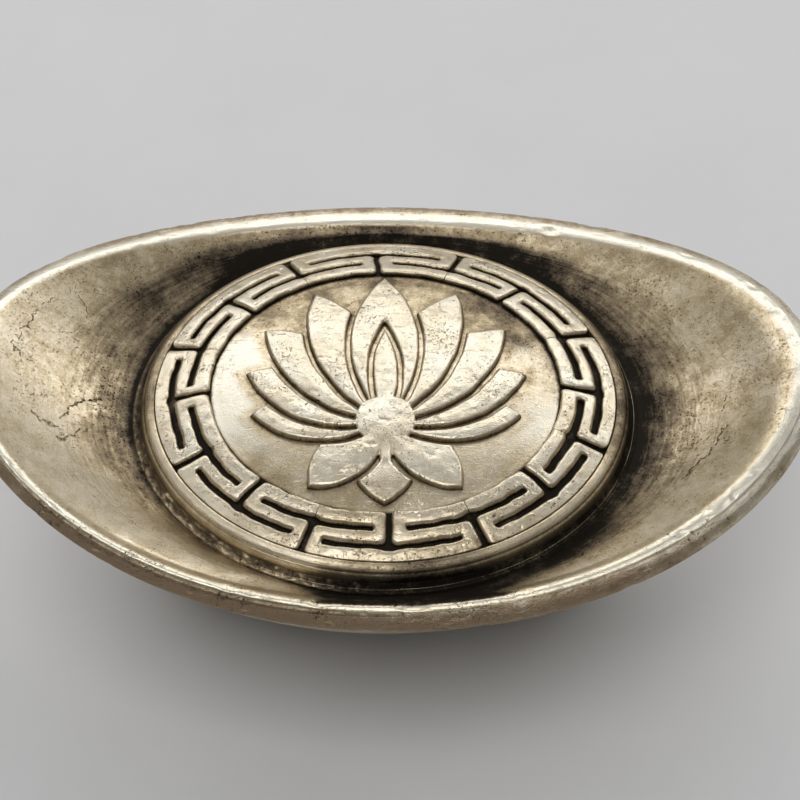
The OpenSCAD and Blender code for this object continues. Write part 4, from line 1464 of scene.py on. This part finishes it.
class INGOT_OT_stage(bpy.types.Operator):
    """Build the floor, the soft light and the camera"""

    bl_idname = "ingot.stage"
    bl_label = "Stage"

    def execute(self, context):
        scene = context.scene
        self.floor(scene)
        world = bpy.data.worlds.new("soft room")
        world.use_nodes = True
        background = world.node_tree.nodes["Background"]
        background.inputs["Color"].default_value = ROOM_COLOUR
        background.inputs["Strength"].default_value = ROOM_STRENGTH
        scene.world = world
        for name, place, size, power in LAMPS:
            area_lamp(name, place, (0, 0, scene.ingot_sizes.land_height), size, power)
        data = bpy.data.cameras.new("camera")
        data.lens = CAMERA_LENS
        data.sensor_width = SENSOR_WIDTH
        data.clip_start = CLIP_START
        data.shift_x = (PHOTO_SIZE / 2 - AIM_PIXEL[0]) / PHOTO_SIZE
        data.shift_y = (AIM_PIXEL[1] - PHOTO_SIZE / 2) / PHOTO_SIZE
        camera = bpy.data.objects.new("camera", data)
        aim = Vector((0, 0, LINK_HIGH.z))
        away = Vector((0, -np.cos(CAMERA_RISE), np.sin(CAMERA_RISE))) * CAMERA_DISTANCE
        camera.location = aim + away
        camera.rotation_euler = (-away).to_track_quat("-Z", "Y").to_euler()
        scene.collection.objects.link(camera)
        scene.camera = camera
        scene.view_settings.view_transform = "Standard"
        return {"FINISHED"}

    def floor(self, scene):
        """A pale floor in one flat square, with a faint unevenness of tone."""
        mesh = bpy.data.meshes.new("floor")
        corners = [(x * FLOOR_HALF, y * FLOOR_HALF, 0) for x, y in ((-1, -1), (1, -1), (1, 1), (-1, 1))]
        mesh.from_pydata(corners, [], [(0, 1, 2, 3)])
        material = bpy.data.materials.new("pale floor")
        material.use_nodes = True
        tree = material.node_tree
        shader = tree.nodes["Principled BSDF"]
        vector = add_node(tree, "ShaderNodeTexCoord").outputs["Object"]
        tone = step(tree, noise(tree, vector, 30.0), 0.3, 0.7)
        pale = scene.ingot_colours.floor
        darker = (*(0.96 * part for part in pale), 1)
        tree.links.new(blend(tree, tone, darker, (*pale, 1)), shader.inputs["Base Color"])
        shader.inputs["Roughness"].default_value = 0.7
        mesh.materials.append(material)
        floor = bpy.data.objects.new("floor", mesh)
        scene.collection.objects.link(floor)


class INGOT_PT_panel(bpy.types.Panel):
    """Buttons for the ingot's pieces"""

    bl_idname = "INGOT_PT_panel"
    bl_label = "Silver Boat Ingot"
    bl_space_type = "VIEW_3D"
    bl_region_type = "UI"
    bl_category = "Ingot"

    def draw(self, context):
        for operator in OPERATORS:
            self.layout.operator(operator.bl_idname)
        for group in (context.scene.ingot_sizes, context.scene.ingot_colours):
            for key in group.__annotations__:
                self.layout.prop(group, key)


OPERATORS = (
    INGOT_OT_hull, INGOT_OT_rim, INGOT_OT_trough, INGOT_OT_boss, INGOT_OT_solder, INGOT_OT_fret,
    INGOT_OT_flower, INGOT_OT_stage,
)
CLASSES = (IngotSizes, IngotColours, *OPERATORS, INGOT_PT_panel)


def register():
    """Adds the classes and their settings to Blender."""
    for cls in CLASSES:
        bpy.utils.register_class(cls)
    bpy.types.Scene.ingot_sizes = PointerProperty(type=IngotSizes)
    bpy.types.Scene.ingot_colours = PointerProperty(type=IngotColours)


def unregister():
    """Takes the classes and their settings out again."""
    del bpy.types.Scene.ingot_colours
    del bpy.types.Scene.ingot_sizes
    for cls in reversed(CLASSES):
        bpy.utils.unregister_class(cls)


def main():
    """Builds every piece and the stage."""
    register()
    bpy.ops.ingot.hull()
    bpy.ops.ingot.rim()
    bpy.ops.ingot.trough()
    bpy.ops.ingot.boss()
    bpy.ops.ingot.solder()
    bpy.ops.ingot.fret()
    bpy.ops.ingot.flower()
    bpy.ops.ingot.stage()


if __name__ == "__main__":
    main()
